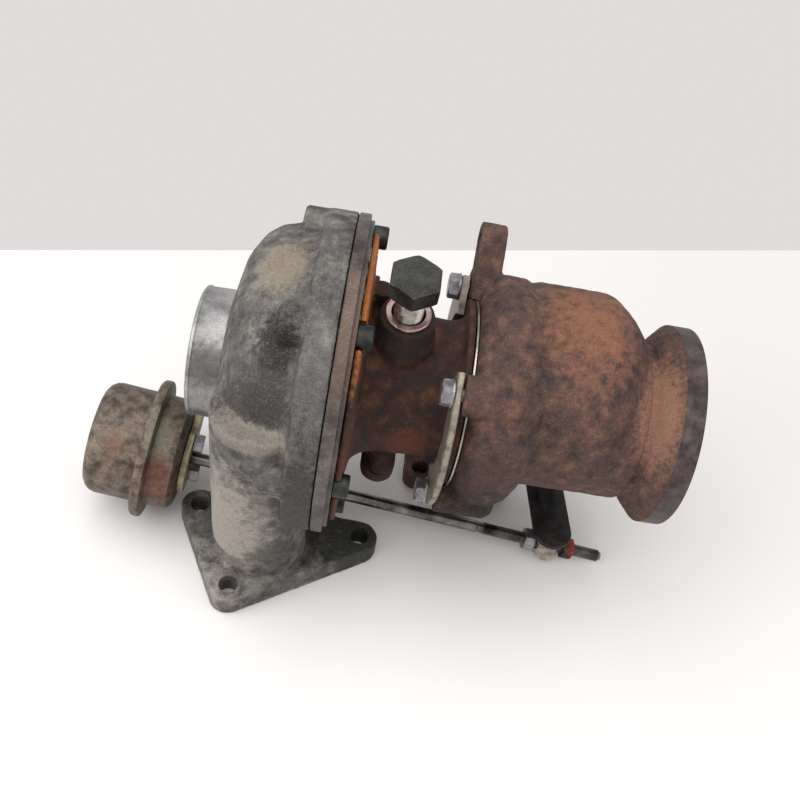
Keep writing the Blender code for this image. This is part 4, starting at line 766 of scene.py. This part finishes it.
# Clamp joint. Two crescent plates of stamped steel, each under two hexagon bolts, hold the turbine
# housing against the bearing housing, with the thin bright edge of the heat shield between them.
clamp_steel = worn_metal("heat-stained stamped steel", ("#6a6157", "#8f8678", "#a39a8a"), 5, 0.7, 0.6, 0.48, 0.06)
zinc_steel = worn_metal("dull zinc on steel", ("#6f6c70", "#928f93", "#a8a5a6"), 4, 0.5, 0.85, 0.38, 0.04)
shield_steel = worn_metal("bright rolled steel", ("#8d8a80", "#b9b5a6"), 8, 0.6, 0.9, 0.3, 0.02)
plate_low, plate_high = 48.0, 50.8
for name, first, last in (("clamp_plate_front", 35, 145), ("clamp_plate_rear", 215, 325)):
    crescent = ringed(
        name + "_stamping",
        [
            (plate_low, 34),
            (plate_low, 50.2),
            (plate_low + 0.5, 50.8),
            (plate_high - 0.5, 50.8),
            (plate_high, 50.2),
            (plate_high, 34),
            (plate_low, 34),
        ],
        sides=144,
        hollow=True,
    )
    bpy.ops.object.mode_set(mode="EDIT")
    for angle, side in ((first, 1), (last, -1)):
        turn = math.radians(angle)
        bpy.ops.mesh.select_all(action="SELECT")
        bpy.ops.mesh.bisect(
            plane_co=seam,
            plane_no=(0, side * math.cos(turn), side * math.sin(turn)),
            use_fill=True,
            clear_outer=True,
        )
    bpy.ops.object.mode_set(mode="OBJECT")
    boolean(
        crescent,
        "DIFFERENCE",
        *[
            ringed("hole", [(40, 3.3), (55, 3.3)], shaft @ Matrix.Translation(Vector((0, *around(45.5, a))) * mm), 32)
            for a in (first + 10, last - 10)
        ],
    )
    finish(crescent, clamp_steel, "housings", "clamp_steel", name)
for i, angle in enumerate(clamp_angles):
    place = shaft @ Matrix.Translation(Vector((0, *around(clamp_circle, angle))) * mm)
    bolt = ringed("clamp_bolt", [(42.6, 5.77), (47.0, 5.77)], place, 6)
    boolean(bolt, "INTERSECT", ringed("chamfer", [(42.6, 4.9), (43.4, 5.9), (47, 5.9)], place, 64))
    boolean(bolt, "UNION", ringed("collar", [(46.8, 5.9), (47.7, 5.9), (47.7, 3.0), (62, 3.0)], place, 40))
    bolt.name = f"clamp_bolt_head_{i + 1}"
    finish(bolt, zinc_steel, "housings", "zinc_steel", f"clamp_bolt_{i + 1}")
shield = ringed(
    "heat_shield_disc",
    [
        (54.8, 41.5),
        (55.5, 41.5),
        (55.5, 34.2),
        (57.7, 33),
        (57.7, 9.2),
        (57.0, 9.2),
        (57.0, 32.3),
        (54.8, 33.5),
        (54.8, 41.5),
    ],
    sides=128,
    hollow=True,
)
finish(shield, shield_steel, "housings", "zinc_steel", "heat_shield")


# The two wheels. The compressor's is milled aluminium on the thin end of the shaft; the turbine's is a
# nickel alloy casting welded to the thick end, dark with heat.
def bladed(hub, count, roots, tips, sweep, thickness):
    """Adds curved blades round a hub, each a thin solid between its root line and its tip line."""
    grown = bmesh.new()
    grown.from_mesh(hub.data)
    last = len(roots) - 1
    for blade in range(count):
        rings = []
        for i, (root, tip) in enumerate(zip(roots, tips)):
            angle = 2 * math.pi * blade / count + sweep * (i / last) ** 1.4
            ring = []
            for (x, radius), side in ((root, -1), (root, 1), (tip, 0.5), (tip, -0.5)):
                turn = angle + side * thickness / 2 / radius
                ring.append(grown.verts.new(spot(x, radius * math.sin(turn), radius * math.cos(turn))))
            rings.append(ring)
        faces = [grown.faces.new(rings[0]), grown.faces.new(rings[-1])]
        for near, far in zip(rings, rings[1:]):
            for k in range(4):
                faces.append(grown.faces.new((near[k], near[k - 3], far[k - 3], far[k])))
        bmesh.ops.recalc_face_normals(grown, faces=faces)
    grown.to_mesh(hub.data)
    grown.free()
    return hub


milled_aluminium = worn_metal("milled aluminium", ("#8f9193", "#b0b2b3"), 6, 0.4, 0.95, 0.28, 0.02)
wheel = ringed(
    "compressor_wheel_milled",
    [(-33, 3.05), (-33, 5.6), (-32.4, 6), (-25, 6.8), (-18, 9), (-12, 13), (-6.1, 18.5), (-4.7, 25.9), (-3.5, 25.9),
     (-3.5, 3.05), (-33, 3.05)],
    hollow=True,
)
roots = blade_tips((-30, 5.4), (-4.3, 25.8), False)
bladed(wheel, 12, roots, compressor_tips, math.radians(-48), 0.9)
finish(wheel, milled_aluminium, "rotor", "machined_aluminium", "compressor_wheel")

dark_alloy = worn_metal("heat-darkened nickel alloy", ("#2b2523", "#463c38", "#5d524c"), 6, 0.6, 0.6, 0.5, 0.06)
turbine_wheel = ringed(
    "turbine_wheel_and_shaft",
    [(-41.5, 2.2), (-41, 2.7), (15.2, 2.7), (15.2, 4), (49.8, 4), (49.8, 8), (51.6, 8), (51.6, 6.6), (53.4, 6.6),
     (53.4, 8), (58.3, 8), (58.3, 23.4), (60, 23.4), (63.3, 16), (70.3, 9), (82, 6.5), (84, 5), (84.8, 3)],
    sides=64,
)
roots = blade_tips((59.7, 22.9), (82, 5.6), True)
bladed(turbine_wheel, 10, roots, turbine_tips, math.radians(28), 1.2)
finish(turbine_wheel, dark_alloy, "rotor", "scaled_iron", "turbine_shaft")
nut = ringed("rotor_nut_hex", [(-38.3, 5.2), (-33.3, 5.2)], sides=6)
boolean(nut, "DIFFERENCE", ringed("bore", [(-40, 3.0), (-30, 3.0)], sides=40))
finish(nut, zinc_steel, "rotor", "turned_steel", "rotor_nut")


# Bearings and seals. Out of sight inside the spool: bronze bushes, hardened steel rings and collars.
bronze = worn_metal("bearing bronze", ("#8a6236", "#b08347"), 5, 0.5, 0.95, 0.3, 0.02)
hard_steel = worn_metal("ground hardened steel", ("#5b5a58", "#85837f"), 5, 0.5, 0.95, 0.25, 0.02)
rubber = worn_metal("black rubber", ("#0d0d0d", "#1a1a1a"), 5, 0.6, 0.0, 0.7, 0.03)
kept = {
    "journal_bearing_front": bronze,
    "journal_bearing_rear": bronze,
    "thrust_bearing": bronze,
    "bearing_circlip_front": hard_steel,
    "bearing_circlip_rear": hard_steel,
    "turbine_seal_ring": hard_steel,
    "oil_flinger": hard_steel,
    "thrust_collar": hard_steel,
    "wastegate_bush": hard_steel,
    "cover_seal_ring": rubber,
    "diaphragm": rubber,
    "actuator_spring": hard_steel,
    "piston_plate": hard_steel,
}
for name, material in kept.items():
    solid = frame["nodes"][name]
    solid.data.materials.clear()
    solid.data.materials.append(material)


# Wastegate. A steel spindle turns in a bush under the chamber; its arm carries the flap valve inside,
# and a flat black lever outside ends in a ring round the trunnion's pin.
spindle_steel = worn_metal("heat-browned steel", ("#3c332d", "#5e5248", "#7a6d60"), 5, 0.5, 0.8, 0.45, 0.05)
lever_black = worn_metal("black phosphated steel", ("#141312", "#201f1e", "#33302d"), 6, 0.6, 0.5, 0.5, 0.08)
spindle = ringed(
    "wastegate_spindle_bar",
    [(-77.7, 3.4), (-77.2, 4), (-24, 4), (-24, 5.2), (-13, 5.2), (-12.4, 4.6), (-12, 3.6)],
    bush_place,
    48,
)
arm = plate("arm", [(valve_y, -25, 5.5), (pivot_y - 1, -19, 5.5)], valve_x + 3.3, valve_x + 7.8)
boolean(spindle, "UNION", arm)
boolean(spindle, "DIFFERENCE", ringed("hole", [(valve_x, 2.8), (valve_x + 12, 2.8)], port_place, 32))
finish(spindle, spindle_steel, "wastegate", "turned_steel", "wastegate_spindle")
valve = ringed(
    "wastegate_flap",
    [(valve_x, 7.4), (valve_x + 0.5, 8), (valve_x + 2.6, 8), (valve_x + 3, 7.6), (valve_x + 3, 2.5),
     (valve_x + 10.4, 2.5), (valve_x + 10.8, 2.1)],
    port_place,
    48,
)
finish(valve, spindle_steel, "wastegate", "turned_steel", "wastegate_valve")
frame["nodes"]["valve_washer"].data.materials.clear()
frame["nodes"]["valve_washer"].data.materials.append(spindle_steel)

trunnion_pin = Vector(next(j["pos_m"] for j in frame["record"]["behaviour"]["joints"] if j["name"] == "trunnion_turn"))
trunnion_z = (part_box("trunnion")[0][2] / mm) - shaft_height + 6.5
tip_x, tip_y = (trunnion_pin.x - seam.x) / mm, (trunnion_pin.y - seam.y) / mm
lever_low = (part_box("wastegate_lever")[0][2] - shaft_height * mm) / mm
lever_high = (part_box("wastegate_lever")[1][2] - shaft_height * mm) / mm
lever = plate("wastegate_lever_arm", [(tip_y, -tip_x, 9.4), (pivot_y, -pivot_x, 9.4)], lever_low, lever_high, standing, 48)
boolean(
    lever,
    "DIFFERENCE",
    ringed("hole", [(-90, 4.3), (lever_high - 0.7, 4.3)], Matrix.Translation(spot(tip_x, tip_y, 0)) @ upright, 48),
    ringed("hole", [(-90, 4.3), (-60, 4.3)], bush_place, 48),
)
bpy.context.view_layer.objects.active = lever
edge = lever.modifiers.new("edge", "BEVEL")
edge.width = 0.4 * mm
edge.segments = 2
edge.limit_method = "ANGLE"
bpy.ops.object.modifier_apply(modifier=edge.name)
finish(lever, lever_black, "wastegate", "black_steel", "wastegate_lever")


# Trunnion. A cross-bored pin of nickel-plated steel, turned with a collar, that hangs from the lever's
# ring and holds the rod; a washer lies between its collar and the lever.
nickel = worn_metal(
    "pitted nickel plate",
    ("#6e6862", "#a39c92", "#bdb6ab"),
    4,
    0.6,
    0.7,
    0.4,
    0.08,
)
pin_place = Matrix.Translation(spot(tip_x, tip_y, 0)) @ upright
pin_low = trunnion_z - 6.5
trunnion = ringed(
    "trunnion_pin_turned",
    [
        (pin_low, 5.3),
        (pin_low + 0.9, 6.25),
        (pin_low + 5.2, 6.25),
        (pin_low + 12.0, 6.25),
        (pin_low + 12.4, 7.0),
        (pin_low + 12.6, 7.7),
        (pin_low + 13.3, 7.7),
        (pin_low + 13.5, 7.3),
        (pin_low + 13.5, 3.95),
        (lever_high - 1.6, 3.95),
        (lever_high - 1.0, 3.4),
    ],
    pin_place,
    72,
)
boolean(trunnion, "DIFFERENCE", ringed("rod_hole", [(186, 3.75), (211, 3.75)], can_place, 48))
finish(trunnion, nickel, "trunnion", "turned_steel", "trunnion")
frame["nodes"]["trunnion_washer"].data.materials.clear()
frame["nodes"]["trunnion_washer"].data.materials.append(nickel)


# Actuator rod. A 6 mm drawn steel rod, threaded at its free end, with a lock nut each side of the
# trunnion: a light zinc one inside and a dark one, daubed with red paint, outside.
rod_steel = worn_metal("drawn steel, oily", ("#3a3836", "#6b6865", "#8d8a86"), 12, 0.4, 0.95, 0.3, 0.02)
paint_red = worn_metal(
    "blackened nut daubed with red paint",
    ("#1b1817", "#2f2a28", "#4a413c"),
    3,
    0.5,
    0.6,
    0.45,
    0.05,
    (((131, -12.5, -84), (6, 6, 6), "#a03a30", 0.8, 2.5),),
)
rod_middle = 198.3
thread_start, thread_end = rod_middle - 34, 225.8
rings = [(-23.5, 4.2), (-23.1, 4.6), (-21.8, 4.6), (-21.8, 3.0), (thread_start - 3.5, 3.0), (thread_start - 3, 2.5),
         (thread_start, 2.5)]
pitch = 1.0
for turn in range(int((thread_end - thread_start) / pitch)):
    crest = thread_start + turn * pitch
    rings += [(crest + 0.3, 3.0), (crest + 0.5, 3.0), (crest + 0.9, 2.5)]
rings += [(226.3, 1.9)]
rod = ringed("actuator_rod_bar", rings, can_place, 40)
finish(rod, rod_steel, "rod", "turned_steel", "actuator_rod", crease=25)
for name, low, material, slot_name in (
    ("inner_lock_nut", rod_middle - 7.6 - 5, zinc_steel, "zinc_steel"),
    ("outer_lock_nut", rod_middle + 7.6, paint_red, "black_steel"),
):
    nut = ringed(name + "_hex", [(low, 5.77), (low + 5, 5.77)], can_place, 6)
    boolean(nut, "INTERSECT", ringed("chamfer", [(low, 5.0), (low + 0.6, 5.9), (low + 4.4, 5.9), (low + 5, 5.0)], can_place, 64))
    boolean(nut, "DIFFERENCE", ringed("bore", [(low - 1, 3.25), (low + 6, 3.25)], can_place, 40))
    finish(nut, material, "rod", slot_name, name)


# Actuator can. Two steel pressings rolled together over the rubber diaphragm's rim, once zinc-plated and
# now brown and flaking; a hose nipple at the back, and a bent bracket bolted to the cover's bosses.
can_steel = worn_metal(
    "corroded zinc-plated pressing",
    ("#38322b", "#574d43", "#6d6255", "#7d7264"),
    5,
    0.8,
    0.45,
    0.6,
    0.15,
    (
        ((-92, -30, -40), (6, 9, 9), "#7a5038", 0.3, 2),
        ((-72, -34, -54), (6, 14, 14), "#7d3f2c", 0.4, 1.5),
        ((-74, -20, -38), (5, 12, 8), "#858a72", 0.35, 1.0),
    ),
)
bracket_steel = worn_metal("yellowed steel strip", ("#6d6350", "#9a8f72", "#b3a888"), 6, 0.7, 0.6, 0.5, 0.08)
cap = ringed(
    "actuator_cap_pressing",
    [
        (-27, 0.4),
        (-27, 20.6),
        (-26.6, 22.6),
        (-25.3, 24.6),
        (-23.3, 26.0),
        (-21, 26.5),
        (-2.4, 26.5),
        (-1.7, 27.4),
        (-1.7, 31.3),
        (-0.75, 31.3),
        (-0.75, 25),
        (-21, 25),
        (-24.4, 23.4),
        (-25.5, 20),
        (-25.5, 0.4),
        (-27, 0.4),
    ],
    can_place,
    128,
    True,
)
nipple_turn = Matrix.Rotation(math.radians(-40), 4, "X") @ Matrix.Rotation(math.pi / 2, 4, "Z")
nipple_place = can_place @ Matrix.Translation((-13.5 * mm, 0, 0)) @ nipple_turn
boolean(cap, "DIFFERENCE", ringed("port", [(21, 3.2), (30, 3.2)], nipple_place, 40))
finish(cap, can_steel, "housings", "stained_steel", "actuator_cap")
body = ringed(
    "actuator_body_pressing",
    [
        (15, 6.6),
        (15, 21.5),
        (14.4, 23.9),
        (12.6, 25.9),
        (10, 26.5),
        (2.4, 26.5),
        (1.9, 27.3),
        (1.9, 31.8),
        (1.3, 32.8),
        (0, 33),
        (-1.9, 32.8),
        (-2.9, 31.8),
        (-2.9, 28.4),
        (-2.0, 28.4),
        (-1.8, 31.8),
        (0.7, 31.8),
        (0.7, 25),
        (10, 25),
        (13.5, 20.5),
        (13.5, 6.6),
        (15, 6.6),
    ],
    can_place,
    128,
    True,
)
finish(body, can_steel, "housings", "stained_steel", "actuator_body")
nipple = ringed(
    "pressure_nipple_turned",
    [(25.2, 1.6), (25.2, 2.9), (26.7, 2.9), (26.7, 5), (28.5, 5), (28.8, 2.9), (39, 2.9), (40.2, 3.3), (41.4, 3.3),
     (43.5, 2.6), (43.5, 1.6), (25.2, 1.6)],
    nipple_place,
    40,
    True,
)
finish(nipple, nickel, "housings", "turned_steel", "pressure_nipple")
for name in ("actuator_bracket", "can_nut_1", "can_nut_2", "bracket_bolt_1", "bracket_bolt_2"):
    solid = frame["nodes"][name]
    solid.data.materials.clear()
    solid.data.materials.append(bracket_steel if name == "actuator_bracket" else zinc_steel)
